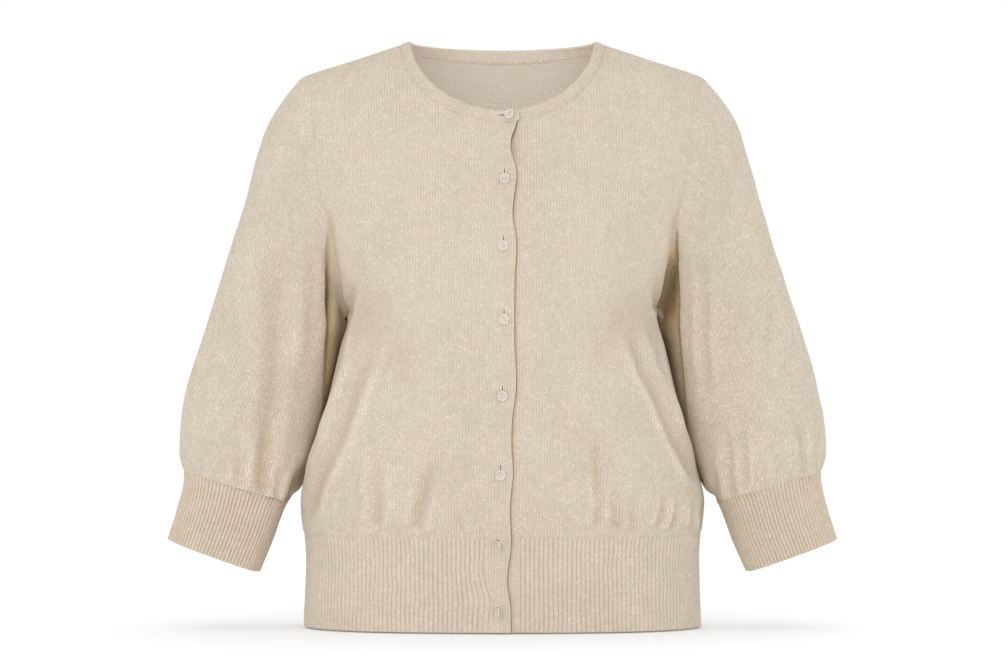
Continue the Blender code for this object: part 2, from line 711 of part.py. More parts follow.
def seat_frame(place, normal):
    """A frame with X level along the band, Y up it and Z out of it."""
    up = Vector((0.0, 0.0, 1.0))
    level = up.cross(normal).normalized()
    frame = Matrix((level, normal.cross(level), normal)).transposed().to_4x4()
    return Matrix.Translation(place) @ frame


def box(name, frames_and_sizes):
    """Boxes in one hidden mesh, each in its own frame."""
    mesh = bpy.data.meshes.new(name)
    shape = bmesh.new()
    for frame, size in frames_and_sizes:
        made = bmesh.ops.create_cube(shape, size=1.0)["verts"]
        bmesh.ops.scale(shape, vec=size, verts=made)
        bmesh.ops.transform(shape, matrix=frame, verts=made)
    shape.to_mesh(mesh)
    shape.free()
    item = bpy.data.objects.new(name, mesh)
    bpy.context.scene.collection.objects.link(item)
    return item


def buttonhole_cutter():
    """Upright slots, each with its lower end just under its button's thread."""
    cuts = []
    for button in BUTTONS[1:]:
        caught = abs(button.turn) > 45
        width = CAUGHT_HOLE_WIDTH if caught else BUTTONHOLE_WIDTH
        rise = 0.0 if caught else BUTTONHOLE_LENGTH / 2 - 2 * THREAD_RADIUS
        frame = seat_frame(*button_seat(button)) @ Matrix.Translation((0.0, rise, 0.0))
        cuts.append((frame, (width, BUTTONHOLE_LENGTH, 4 * BAND_WALL)))
    return box("buttonhole_cutter", cuts)


def neck_buttonhole_cutter():
    """One level slot in the neck band, its end just past the top button's thread."""
    shift = 2 * THREAD_RADIUS - BUTTONHOLE_LENGTH / 2
    frame = seat_frame(*button_seat(BUTTONS[0])) @ Matrix.Translation((shift, 0.0, 0.0))
    depth = 2 * (BAND_WALL + SEAM_GAP / 2)
    return box("neck_buttonhole_cutter", [(frame, (BUTTONHOLE_LENGTH, BUTTONHOLE_WIDTH, depth))])


def turned(name, profile, look):
    """A solid turned about Z from a profile of radius and height, bottom to top."""
    mesh = bpy.data.meshes.new(name)
    shape = bmesh.new()
    corners = [shape.verts.new((radius, 0.0, height)) for radius, height in profile]
    edges = [shape.edges.new(pair) for pair in zip(corners, corners[1:])]
    bmesh.ops.spin(shape, geom=corners + edges, cent=(0, 0, 0), axis=(0, 0, 1), angle=2 * pi,
                   steps=BUTTON_SIDES, use_merge=True)
    bmesh.ops.remove_doubles(shape, verts=shape.verts, dist=1e-6)
    bmesh.ops.recalc_face_normals(shape, faces=shape.faces)
    shape.to_mesh(mesh)
    shape.free()
    mesh.shade_smooth()
    mesh.set_sharp_from_angle(angle=radians(40))
    return add_object(name, mesh, look)


def build_buttons():
    """Eight buttons with a raised rim, each on a thread that reaches for the button band."""
    half = BUTTON_THICKNESS / 2
    disc = (
        (0.0, -half),
        (0.72 * BUTTON_RADIUS, -half),
        (BUTTON_RADIUS, -0.2 * half),
        (BUTTON_RADIUS, 0.4 * half),
        (0.86 * BUTTON_RADIUS, half),
        (0.66 * BUTTON_RADIUS, 0.35 * half),
        (0.0, 0.25 * half),
    )
    for number, button in enumerate(BUTTONS, start=1):
        turn = radians(button.turn)
        caught = abs(button.turn) > 45
        clearance = SEAM_GAP
        stand = clearance + half * np.cos(turn) + BUTTON_RADIUS * abs(np.sin(turn))
        place, normal = button_seat(button)
        seat = seat_frame(place, normal)
        item = turned(f"button_{number}", disc, PEARL)
        item.matrix_world = seat @ Matrix.Translation((0, 0, stand)) @ Matrix.Rotation(turn, 4, "Y")
        foot = SEAM_GAP - LAP_LIFT
        thread = bpy.data.meshes.new(f"thread_{number}")
        shape = bmesh.new()
        bmesh.ops.create_cone(shape, cap_ends=True, segments=8, radius1=THREAD_RADIUS,
                              radius2=THREAD_RADIUS, depth=stand - foot,
                              matrix=Matrix.Translation((0, 0, (stand + foot) / 2)))
        shape.to_mesh(thread)
        shape.free()
        post = bpy.data.objects.new(f"thread_{number}", thread)
        bpy.context.scene.collection.objects.link(post)
        post.matrix_world = seat
        combine(item, post, "UNION")


# ---------------------------------------------------------------- the whole cardigan


def main():
    """Clear the scene and make every piece."""
    for item in list(bpy.data.objects):
        bpy.data.objects.remove(item, do_unlink=True)
    build_fronts()
    build_back()
    build_hem()
    build_sleeves()
    build_plackets()
    build_neck_band()
    build_buttons()


main()
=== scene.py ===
"""A fine-knit cardigan with a ribbed hem and cuffs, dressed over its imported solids.

Each knitted part is a closed wall worked out on a fine grid over the same form as its solid,
with the seams, ribs, gathers and folds of the real cloth. Lengths are in metres, +Z is up, the
front faces -Y and +X is the wearer's left.
"""

import logging
from dataclasses import dataclass, replace
from enum import Enum
from math import cos, pi, radians, sin
from typing import NamedTuple

import bpy
import numpy as np
from mathutils import Matrix, Vector


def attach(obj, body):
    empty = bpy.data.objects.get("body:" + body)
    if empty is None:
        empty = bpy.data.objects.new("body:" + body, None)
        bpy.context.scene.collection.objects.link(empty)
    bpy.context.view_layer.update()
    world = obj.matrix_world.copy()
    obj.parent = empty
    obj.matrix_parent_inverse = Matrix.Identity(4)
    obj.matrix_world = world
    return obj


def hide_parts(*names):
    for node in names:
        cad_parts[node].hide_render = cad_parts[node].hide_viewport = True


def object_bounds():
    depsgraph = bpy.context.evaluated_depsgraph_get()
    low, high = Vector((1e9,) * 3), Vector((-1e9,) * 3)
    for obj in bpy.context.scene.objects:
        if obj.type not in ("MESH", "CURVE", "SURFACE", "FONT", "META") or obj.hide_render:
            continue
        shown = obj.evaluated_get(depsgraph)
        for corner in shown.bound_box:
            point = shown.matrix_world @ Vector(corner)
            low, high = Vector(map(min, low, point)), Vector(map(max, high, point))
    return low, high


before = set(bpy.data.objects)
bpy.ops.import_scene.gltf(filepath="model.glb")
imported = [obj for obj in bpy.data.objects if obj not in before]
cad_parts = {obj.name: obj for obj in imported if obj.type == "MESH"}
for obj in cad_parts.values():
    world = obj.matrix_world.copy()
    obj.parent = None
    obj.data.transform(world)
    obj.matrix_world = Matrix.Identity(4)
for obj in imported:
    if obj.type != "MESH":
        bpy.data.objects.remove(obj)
CAD_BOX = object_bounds()

log = logging.getLogger("cardigan")

Grid = np.ndarray
Piece = bpy.types.Object
Mesh = bpy.types.Mesh
Material = bpy.types.Material
Place = tuple[float, float, float]
Colour = tuple[float, float, float]
QUARTER = pi / 2

# ---- sizes that pieces share

HEM_DROP = 0.594            # shoulder points down to the hem
HEM_RIB = 0.094             # depth of the ribbed hem
HEM_SEAM = HEM_RIB - HEM_DROP   # height of the seam above it
NECK_BAND = 0.0118          # width of the neck band
SHOULDER_RUN = 3.0          # run of the shoulder seam for each unit that it falls
SHOULDER_TIP = -0.037       # height of the shoulder tip

JERSEY_WALL = 0.0020        # plain knit
RIB_WALL = 0.0026           # ribbed knit
BAND_WALL = 0.0021          # plackets and neck band

PLACKET_SEAM = 0.0155       # centre front to a placket's seam
UNDER_LAP = 0.0125          # how far the button band reaches past the centre front
LAP_LIFT = BAND_WALL + 0.0004   # the right front stands this far outside the left one
LAP_FADE = 0.060            # width over which the right front rises to that

HEM_PITCH = 0.0043          # width of a rib of the hem
CUFF_PITCH = 0.0036         # and of a cuff
INNER_RIBS = 0.8            # depth of the ribs inside, as a share of those outside

EDGE_STOPS = (0.0, 0.00018, 0.00050, 0.0010, 0.0017, 0.0027)   # close stations at an edge
SEAM_GROOVE = 0.00055       # how far cloth sinks into a seam
SEAM_REACH = 0.0012         # and over what distance
EDGE_ROUND = 0.92           # how round an open edge is, as a share of a half round


class Stitch(Enum):
    """The knitted structures."""

    FACE = "face"           # smooth side of plain knit, with columns of V-shaped loops
    REVERSE = "reverse"     # its wrong side, with rows of loop heads
    RIB = "rib"             # ridges of face loops with sunk columns between them


class Edge(Enum):
    """How a wall ends."""

    SEWN = "sewn"           # sinks a little into a seam
    OPEN = "open"           # rounds over between its two faces
    FLUSH = "flush"         # runs on into its neighbour


class Hold(Enum):
    HUNG = "hung"
    STRETCHED = "stretched"


# ---- numeric tools


def through(stations: Grid, values: Grid, at: Grid) -> Grid:
    """Read a smooth curve through values at rising stations.

    Cubic Hermite: each span blends its end values and end slopes with the four cubic weights.

    Args:
        stations: Rising places of the values.
        values: The values there.
        at: Where to read.

    Returns:
        The curve's value at each place.
    """
    slopes = np.gradient(values, stations)
    span = np.clip(np.searchsorted(stations, at, side="right") - 1, 0, len(stations) - 2)
    width = stations[span + 1] - stations[span]
    t = (at - stations[span]) / width
    start = values[span] * (1 + 2 * t) * (1 - t) ** 2
    stop = values[span + 1] * t ** 2 * (3 - 2 * t)
    leave = slopes[span] * width * t * (1 - t) ** 2
    arrive = slopes[span + 1] * width * t ** 2 * (t - 1)
    return start + stop + leave + arrive


def power(value: Grid, exponent: Grid) -> Grid:
    """Raise to a power and keep the base's sign, for rounded sections."""
    return np.sign(value) * np.abs(value) ** exponent


def unit(vectors: Grid) -> Grid:
    """Scale vectors to length one."""
    return vectors / np.maximum(np.linalg.norm(vectors, axis=-1, keepdims=True), 1e-12)


def ease(value: Grid) -> Grid:
    """Go from zero to one with level ends: 3 t squared less 2 t cubed."""
    t = np.clip(value, 0.0, 1.0)
    return t * t * (3 - 2 * t)


def bell(distance: Grid, reach: Grid | float) -> Grid:
    """Fall off from one: the exponential of less the square of the distance over the reach."""
    return np.exp(-(distance / reach) ** 2)


def joined(*parts: Grid | float) -> Grid:
    """Join coordinates, spread to one shape, along a new last axis."""
    return np.stack(np.broadcast_arrays(*parts), axis=-1)


def circle(count: int) -> Grid:
    """Even turns round a whole circle."""
    return np.linspace(0, 2 * pi, count, endpoint=False)


def columns_of(rows: tuple[NamedTuple, ...]) -> dict[str, Grid]:
    """Turn a short table into one array for each of its named columns."""
    return {name: np.array(values) for name, values in zip(rows[0]._fields, zip(*rows))}


def run_length(points: Grid, axis: int = 0) -> Grid:
    """Measure lines of points from their start.

    Args:
        points: The points.
        axis: The axis along which the lines run.

    Returns:
        The length up to each point.
    """
    steps = np.linalg.norm(np.diff(points, axis=axis), axis=-1)
    first = np.zeros_like(np.take(steps, [0], axis=axis))
    return np.concatenate([first, np.cumsum(steps, axis=axis)], axis=axis)


def shares(points: Grid) -> Grid:
    """Length along one line of points, scaled to end at one."""
    length = run_length(points)
    return length / length[-1]


def along_line(share: Grid, points: Grid, at: Grid) -> Grid:
    """Read a line of points at shares of its length, column by column."""
    return np.stack([np.interp(at, share, column) for column in points.T], axis=-1)


def lookup(table: Grid, row: Grid, column: Grid) -> Grid:
    """Read a table between its entries: straight blends along rows and columns.

    Args:
        table: Values at whole rows and columns.
        row: Fractional row numbers.
        column: Fractional column numbers.

    Returns:
        The blended values.
    """
    row = np.clip(row, 0, table.shape[0] - 1 - 1e-9)
    column = np.clip(column, 0, table.shape[1] - 1 - 1e-9)
    r, c = row.astype(int), column.astype(int)
    low = table[r, c] * (1 - column + c) + table[r, c + 1] * (column - c)
    high = table[r + 1, c] * (1 - column + c) + table[r + 1, c + 1] * (column - c)
    return low * (1 - row + r) + high * (row - r)


def spaced(length: float, step: float) -> Grid:
    """Make shares of a length: even steps, with close stations near both ends.

    Args:
        length: The length to cut.
        step: The even step.

    Returns:
        Rising shares from 0 to 1.
    """
    stops = np.array(EDGE_STOPS)
    count = max(2, round((length - 2 * stops[-1]) / step))
    middle = np.linspace(stops[-1], length - stops[-1], count + 1)
    return np.concatenate([stops[:-1], middle, length - stops[-2::-1]]) / length


def mirrored(points: Grid) -> Grid:
    """Points on the other side of the centre."""
    return points * np.array([-1.0, 1.0, 1.0])


# ---- folds


@dataclass(frozen=True)
class Crease:
    """A soft groove along a path seen from the front, with an optional ridge on each side."""

    path: tuple[tuple[float, float], ...]
    width: float
    depth: float
    ridge: float = 0.25     # height of the side ridges, as a share of the depth
    start: float = 0.30     # share of the path over which it sets in
    stop: float = 0.30      # and over which it dies away; 0 ends at full depth

    def sunk(self, x: Grid, z: Grid) -> Grid:
        """Work out how deep the crease is at each point.

        The nearest place on the path gives a distance across and a share along. The depth is
        a bell curve of the distance, less two wider-set bells for the ridges, times eased ends.

        Args:
            x: Sideways places.
            z: Heights.

        Returns:
            Depths, positive inwards.
        """
        corners = np.array(self.path)
        legs = np.diff(corners, axis=0)
        lengths = np.linalg.norm(legs, axis=1)
        before = np.concatenate([[0.0], np.cumsum(lengths)[:-1]])
        from_x = x[..., None] - corners[:-1, 0]
        from_z = z[..., None] - corners[:-1, 1]
        share = np.clip((from_x * legs[:, 0] + from_z * legs[:, 1]) / lengths ** 2, 0, 1)
        away = np.hypot(from_x - share * legs[:, 0], from_z - share * legs[:, 1])
        nearest = np.argmin(away, axis=-1)[..., None]
        across = np.take_along_axis(away, nearest, axis=-1)[..., 0] / self.width
        along = np.take_along_axis(before + share * lengths, nearest, axis=-1)[..., 0]
        along = along / lengths.sum()
        fade = ease(along / self.start) if self.start else 1.0
        fade = fade * (ease((1 - along) / self.stop) if self.stop else 1.0)
        groove = bell(across, 1.0) - self.ridge * bell(across - 2.0, 0.8)
        return self.depth * fade * groove


def sunk_by(creases: tuple[Crease, ...], x: Grid, z: Grid) -> Grid:
    """Add up the depths of several creases."""
    return sum((crease.sunk(x, z) for crease in creases), np.zeros(np.broadcast(x, z).shape))


def mirror_creases(creases: tuple[Crease, ...], shift: float) -> tuple[Crease, ...]:
    """Creases for the other side, moved a little up so the two sides don't match."""
    return tuple(
        replace(crease, path=tuple((-x, z + shift) for x, z in crease.path),
                width=crease.width * 1.1, depth=crease.depth * 0.85) for crease in creases)


def unevenness(a: Grid, b: Grid, seed: int, size: float, height: float) -> Grid:
    """Make a gentle random surface: a sum of plane waves with seeded directions and lengths.

    Args:
        a: First coordinate in metres.
        b: Second coordinate in metres.
        seed: Chooses the waves.
        size: Typical wavelength.
        height: Typical height.

    Returns:
        Heights.
    """
    waves = 7
    draw = np.random.default_rng(seed)
    heading = draw.uniform(0, 2 * pi, waves)
    number = 2 * pi / (size * draw.uniform(0.6, 1.7, waves))
    phase = draw.uniform(0, 2 * pi, waves)
    travel = a[..., None] * np.cos(heading) + b[..., None] * np.sin(heading)
    return height * np.sin(travel * number + phase).sum(axis=-1) / waves ** 0.5


# Folds that the solids have too, alike on both sides: under each arm, and down each sleeve.
UNDERARM_FOLDS = (
    Crease(((0.1815, -0.1533), (0.1665, -0.2838)), 0.008, 0.007, 0.0, 0.33, 0.33),
    Crease(((0.1588, -0.245), (0.0763, -0.347)), 0.022, 0.003, 0.0, 0.33, 0.33),
)
SLEEVE_VALLEY = (
    Crease(((0.2143, -0.1075), (0.2368, -0.3625)), 0.02, 0.0045, 0.0, 0.33, 0.33),
)

# Creases of the cloth, seen from the front with their real sides: -X is the wearer's right.
FRONT_CREASES = (
    # soft valleys that run down and out along each side of the body
    Crease(((-0.129, -0.274), (-0.138, -0.326), (-0.1475, -0.35), (-0.1655, -0.403),
            (-0.1755, -0.422), (-0.1865, -0.443), (-0.192, -0.462), (-0.1965, -0.48),
            (-0.198, -0.492)), 0.007, 0.0054, 0.55, 0.45, 0.12),
    Crease(((0.1295, -0.28), (0.1343, -0.31), (0.142, -0.335), (0.151, -0.349), (0.163, -0.377),
            (0.174, -0.403), (0.184, -0.422), (0.193, -0.438), (0.1985, -0.45)),
           0.0056, 0.005, 0.6, 0.25, 0.1),
    # rolled edges where the body turns in below each armhole, and hollows outside them
    Crease(((-0.1379, -0.236), (-0.1445, -0.261), (-0.1478, -0.275), (-0.1515, -0.29),
            (-0.155, -0.311), (-0.159, -0.337), (-0.165, -0.353), (-0.1715, -0.37),
            (-0.179, -0.392), (-0.186, -0.415)), 0.0036, -0.0032, 0.0, 0.2, 0.15),
    Crease(((0.144, -0.238), (0.1487, -0.261), (0.1525, -0.279), (0.1575, -0.302),
            (0.1625, -0.326), (0.169, -0.35), (0.1755, -0.375), (0.183, -0.4)),
           0.0034, -0.0026, 0.0, 0.2, 0.15),
    Crease(((-0.15, -0.236), (-0.1545, -0.262), (-0.1575, -0.28)), 0.005, 0.0036, 0.0, 0.7, 0.1),
    Crease(((0.159, -0.226), (0.1565, -0.252), (0.156, -0.276)), 0.0056, 0.0044, 0.0, 0.7, 0.1),
    # gathers that rise from the ribbed hem
    Crease(((-0.152, -0.46), (-0.15, -0.494)), 0.0048, 0.0026, 0.4, 0.8, 0.1),
    Crease(((-0.12, -0.395), (-0.126, -0.454), (-0.1235, -0.47), (-0.1265, -0.492)),
           0.006, 0.0042, 0.5, 0.7, 0.08),
    Crease(((-0.1105, -0.47), (-0.1105, -0.494)), 0.0036, 0.0024, 0.4, 0.8, 0.1),
    Crease(((-0.064, -0.396), (-0.0738, -0.442), (-0.079, -0.462), (-0.083, -0.48),
            (-0.086, -0.495)), 0.0058, 0.0053, 0.5, 0.65, 0.08),
    Crease(((-0.0425, -0.458), (-0.042, -0.494)), 0.0052, 0.0032, 0.45, 0.8, 0.08),
    Crease(((-0.029, -0.476), (-0.029, -0.494)), 0.004, 0.002, 0.4, 0.8, 0.1),
    Crease(((0.036, -0.47), (0.034, -0.494)), 0.0044, 0.0018, 0.35, 0.8, 0.1),
    Crease(((0.066, -0.466), (0.067, -0.494)), 0.005, 0.0026, 0.4, 0.8, 0.1),
    Crease(((0.0905, -0.38), (0.0946, -0.408), (0.0946, -0.438), (0.0966, -0.466),
            (0.0936, -0.494)), 0.004, 0.0031, 0.7, 0.4, 0.06),
    Crease(((0.1155, -0.44), (0.1135, -0.494)), 0.0046, 0.0034, 0.45, 0.8, 0.08),
    Crease(((0.132, -0.458), (0.13, -0.494)), 0.0042, 0.0031, 0.45, 0.8, 0.08),
    Crease(((0.166, -0.45), (0.162, -0.472), (0.155, -0.492)), 0.0034, 0.0036, 0.6, 0.6, 0.08),
    Crease(((0.179, -0.46), (0.1705, -0.494)), 0.0033, 0.0038, 0.6, 0.7, 0.08),
    Crease(((0.195, -0.462), (0.1915, -0.494)), 0.0036, 0.0044, 0.6, 0.6, 0.08),
    Crease(((0.203, -0.464), (0.202, -0.494)), 0.0036, 0.005, 0.5, 0.6, 0.08),
    # faint long drapes below the bust
    Crease(((-0.096, -0.3), (-0.104, -0.42)), 0.012, 0.0011, 0.4),
    Crease(((-0.03, -0.32), (-0.033, -0.43)), 0.013, 0.001, 0.35),
    Crease(((0.052, -0.31), (0.06, -0.43)), 0.012, 0.0012, 0.4),
    # short pulls from the armholes
    Crease(((-0.132, -0.185), (-0.104, -0.216)), 0.012, 0.0008, 0.25),
    Crease(((0.134, -0.202), (0.104, -0.235)), 0.012, 0.0009, 0.25),
)
BACK_CREASES = (
    Crease(((-0.128, -0.262), (-0.143, -0.345), (-0.166, -0.42), (-0.178, -0.492)),
           0.011, 0.0067, 0.45, 0.25, 0.1),
    Crease(((0.131, -0.28), (0.15, -0.36), (0.17, -0.43), (0.184, -0.494)),
           0.0116, 0.0062, 0.45, 0.25, 0.1),
    Crease(((-0.156, -0.466), (-0.157, -0.502)), 0.0044, 0.0037, 0.4, 0.8, 0.0),
    Crease(((-0.137, -0.442), (-0.141, -0.502)), 0.0051, 0.0044, 0.45, 0.8, 0.0),
    Crease(((-0.114, -0.47), (-0.115, -0.502)), 0.0042, 0.0029, 0.4, 0.8, 0.0),
    Crease(((-0.09, -0.395), (-0.094, -0.46), (-0.093, -0.502)), 0.0064, 0.0047, 0.45, 0.6, 0.0),
    Crease(((-0.063, -0.462), (-0.066, -0.502)), 0.0046, 0.0031, 0.35, 0.8, 0.0),
    Crease(((-0.038, -0.448), (-0.039, -0.502)), 0.0055, 0.0036, 0.4, 0.85, 0.0),
    Crease(((-0.012, -0.472), (-0.013, -0.502)), 0.0044, 0.0026, 0.35, 0.8, 0.0),
    Crease(((0.009, -0.43), (0.014, -0.502)), 0.0062, 0.0039, 0.4, 0.8, 0.0),
    Crease(((0.041, -0.46), (0.041, -0.502)), 0.0048, 0.0034, 0.4, 0.8, 0.0),
    Crease(((0.063, -0.452), (0.068, -0.502)), 0.0051, 0.0026, 0.35, 0.85, 0.0),
    Crease(((0.101, -0.402), (0.097, -0.45), (0.099, -0.502)), 0.0062, 0.0047, 0.45, 0.6, 0.0),
    Crease(((0.121, -0.468), (0.12, -0.502)), 0.0042, 0.0034, 0.4, 0.8, 0.0),
    Crease(((0.146, -0.45), (0.143, -0.502)), 0.0048, 0.0042, 0.45, 0.8, 0.0),
    Crease(((0.163, -0.474), (0.162, -0.502)), 0.004, 0.0029, 0.4, 0.8, 0.0),
    # hollow between the shoulder blades and drapes beneath them
    Crease(((0.002, -0.08), (-0.004, -0.25)), 0.03, 0.0026, 0.2),
    Crease(((-0.082, -0.24), (-0.06, -0.35), (-0.052, -0.44)), 0.016, 0.0021, 0.3),
    Crease(((0.08, -0.255), (0.062, -0.345), (0.06, -0.43)), 0.015, 0.002, 0.3),
    Crease(((-0.15, -0.17), (-0.098, -0.205)), 0.013, 0.0018, 0.25),
    Crease(((0.15, -0.188), (0.104, -0.226)), 0.013, 0.0016, 0.25),
)


# ---- the body's form


class Level(NamedTuple):
    """A level section of the body."""

    z: float
    half_width: float
    front: float
    back: float


class TorsoForm:
    """The filled-out body: level sections with rounded sides, read smoothly between them."""

    levels = (
        Level(-0.594, 0.2018, 0.1120, 0.1040),
        Level(-0.546, 0.2000, 0.1120, 0.1000),
        Level(-0.518, 0.2000, 0.1120, 0.0985),
        Level(-0.503, 0.2015, 0.1130, 0.0985),
        Level(-0.489, 0.2043, 0.1165, 0.1020),
        Level(-0.472, 0.2053, 0.1190, 0.1045),
        Level(-0.436, 0.1985, 0.1205, 0.1020),
        Level(-0.395, 0.1865, 0.1225, 0.0960),
        Level(-0.344, 0.1728, 0.1280, 0.0925),
        Level(-0.311, 0.1650, 0.1315, 0.0950),
        Level(-0.279, 0.1580, 0.1335, 0.0985),
        Level(-0.262, 0.1655, 0.1335, 0.0995),
        Level(-0.240, 0.1800, 0.1320, 0.1005),
        Level(-0.200, 0.2030, 0.1260, 0.1020),
        Level(-0.150, 0.2240, 0.1120, 0.1010),
        Level(-0.100, 0.2360, 0.0940, 0.0920),
        Level(-0.060, 0.2320, 0.0775, 0.0810),
        Level(-0.037, 0.2040, 0.0670, 0.0740),
        Level(-0.018, 0.1470, 0.0585, 0.0670),
        Level(0.000, 0.0930, 0.0450, 0.0600),
        Level(0.004, 0.0810, 0.0400, 0.0580),
    )
    armhole_path = (
        (0.2040, -0.037), (0.2010, -0.046), (0.1945, -0.075), (0.1885, -0.118),
        (0.1815, -0.160), (0.1755, -0.200), (0.1685, -0.240), (0.1620, -0.265),
        (0.1580, -0.279),
    )
    roundness = 2.4
    neck_half_width = 0.093
    neck_front_drop = 0.0747
    neck_back_drop = 0.004
    neck_roundness = 1.85
    wave = 0.085            # length and height of the cloth's gentle unevenness
    wave_height = 0.00055
    fold_fade = 0.012       # width at the side over which the folds under the arms end
    side_fade = 0.025       # width at the side seams over which creases end
    hem_fade = 0.022        # height over which they end in the ribbed hem
    table_rows = 180
    table_columns = 400

    def __init__(self) -> None:
        """Tabulate level arc lengths, so that places along the cloth can be looked up."""
        self.columns = columns_of(self.levels)
        self.low, self.high = self.levels[0].z - 0.002, self.levels[-1].z
        z = np.linspace(self.low, self.high, self.table_rows)[:, None]
        angle = np.linspace(0, QUARTER, self.table_columns)[None] + 0 * z
        even = np.linspace(0, 1, self.table_columns)
        self.arcs, self.angles, self.quarters = {}, {}, {}
        for back in (False, True):
            points = self.section(pi - angle if back else angle, z + 0 * angle)
            arcs = run_length(points, axis=1)
            self.arcs[back] = arcs
            self.quarters[back] = arcs[:, -1:]
            self.angles[back] = np.stack([np.interp(even * row[-1], row, angle[0]) for row in arcs])

    def read(self, name: str, z: Grid) -> Grid:
        """Read one column of the level sections at the heights z."""
        return through(self.columns["z"], self.columns[name], np.asarray(z, dtype=float))

    def section(self, angle: Grid, z: Grid) -> Grid:
        """Give points of the outer face.

        Each level section is a superellipse: the sine and cosine of the angle are raised to 2
        over the roundness, times the half width and the depth in front or behind.

        Args:
            angle: 0 at the centre front, a quarter turn at the +X side.
            z: Heights.

        Returns:
            Points.
        """
        exponent = 2 / self.roundness
        depth = np.where(np.cos(angle) >= 0, self.read("front", z), self.read("back", z))
        x = self.read("half_width", z) * power(np.sin(angle), exponent)
        y = -depth * power(np.cos(angle), exponent)
        return joined(x, y, z)

    def outward(self, angle: Grid, z: Grid) -> Grid:
        """Find outward directions, from small steps round the section and up it.

        Args:
            angle: Angles, as for section.
            z: Heights.

        Returns:
            Directions.
        """
        step = 1e-4
        turn = self.section(angle + step, z) - self.section(angle - step, z)
        rise = self.section(angle, z + step) - self.section(angle, z - step)
        return unit(np.cross(turn, rise))

    def surface(self, angle: Grid, z: Grid) -> tuple[Grid, Grid]:
        """Points of the outer face and the outward directions there."""
        return self.section(angle, z), self.outward(angle, z)

    def angle_at(self, x: Grid, z: Grid) -> Grid:
        """Front angle whose point has this x."""
        ratio = np.clip(x / self.read("half_width", z), -1.0, 1.0)
        return np.arcsin(power(ratio, self.roundness / 2))

    def row_of(self, z: Grid) -> Grid:
        """Fractional row of the arc tables at the heights z."""
        return (z - self.low) / (self.high - self.low) * (self.table_rows - 1)

    def quarter(self, z: Grid, back: bool) -> Grid:
        """Level arc of a whole quarter, from the centre to the side."""
        return np.interp(self.row_of(z), np.arange(self.table_rows), self.quarters[back][:, 0])

    def arc(self, angle: Grid, z: Grid, back: bool) -> Grid:
        """Level arc from the centre front or back to an angle measured from it, with its sign."""
        column = np.abs(angle) / QUARTER * (self.table_columns - 1)
        return np.sign(angle) * lookup(self.arcs[back], self.row_of(z), column)

    def angle_along(self, arc: Grid, z: Grid, back: bool) -> Grid:
        """Angle whose level arc is this long: the function above turned round."""
        column = np.abs(arc) / self.quarter(z, back) * (self.table_columns - 1)
        return np.sign(arc) * lookup(self.angles[back], self.row_of(z), column)

    def neckline(self, turn: Grid, reach: float) -> tuple[Grid, Grid]:
        """Give a curve round the neck, `reach` outside the band's free edge.

        The height falls with a power of the turn's cosine, and the width follows its sine.

        Args:
            turn: 0 at the centre front, a quarter at the +X shoulder, a half at the back.
            reach: Distance outside the band's free edge.

        Returns:
            Angles round the body and heights.
        """
        exponent = 2 / self.neck_roundness
        fall = reach / (1 + SHOULDER_RUN ** 2) ** 0.5
        half_width = self.neck_half_width + fall * SHOULDER_RUN
        front = np.cos(turn) >= 0
        front_fall = (self.neck_front_drop + reach - fall) * np.abs(np.cos(turn)) ** exponent
        back_fall = (self.neck_back_drop + reach - fall) * np.cos(turn) ** 2
        z = -fall - np.where(front, front_fall, back_fall)
        x = half_width * power(np.sin(turn), np.where(front, exponent, 1.0))
        angle = self.angle_at(x, z)
        return np.where(front, angle, pi - angle), z

    def neck_turn(self, x: Grid, reach: Grid) -> Grid:
        """Front turn at which the curve round the neck has this x."""
        half_width = self.neck_half_width + reach * SHOULDER_RUN / (1 + SHOULDER_RUN ** 2) ** 0.5
        return np.arcsin(power(x / half_width, self.neck_roundness / 2))

    def neck_turns(self, start: float, stop: float, at: Grid) -> Grid:
        """Turns at shares of the neck seam's length between two turns."""
        fine = np.linspace(start, stop, 900)
        return np.interp(at, shares(self.section(*self.neckline(fine, NECK_BAND))), fine)

    def armhole(self, back: bool) -> Grid:
        """Draw a smooth curve through the armhole's places at +X.

        Args:
            back: Whether it is the back's armhole.

        Returns:
            Angles and heights, close together from underarm to tip.
        """
        path = np.array(self.armhole_path)[::-1]
        z = path[:, 1]
        angle = self.angle_at(path[:, 0], z)
        angle[[0, -1]] = QUARTER
        angle = np.concatenate([[pi - angle[1]], angle, [pi - angle[-2]]])
        z = np.concatenate([[z[1]], z, [z[-2]]])
        if back:
            angle = pi - angle
        rows = run_length(self.section(angle, z))
        fine = np.linspace(rows[1], rows[-2], 900)
        return joined(through(rows, angle, fine), through(rows, z, fine))

    def armhole_at(self, share: Grid, back: bool) -> tuple[Grid, Grid]:
        """Read the armhole seam.

        Args:
            share: Shares of its length from the shoulder tip.
            back: Whether it is the back's.

        Returns:
            Angles and heights.
        """
        seam = self.armhole(back)
        seam = along_line(shares(self.section(seam[:, 0], seam[:, 1])), seam, 1 - share)
        return seam[..., 0], seam[..., 1]

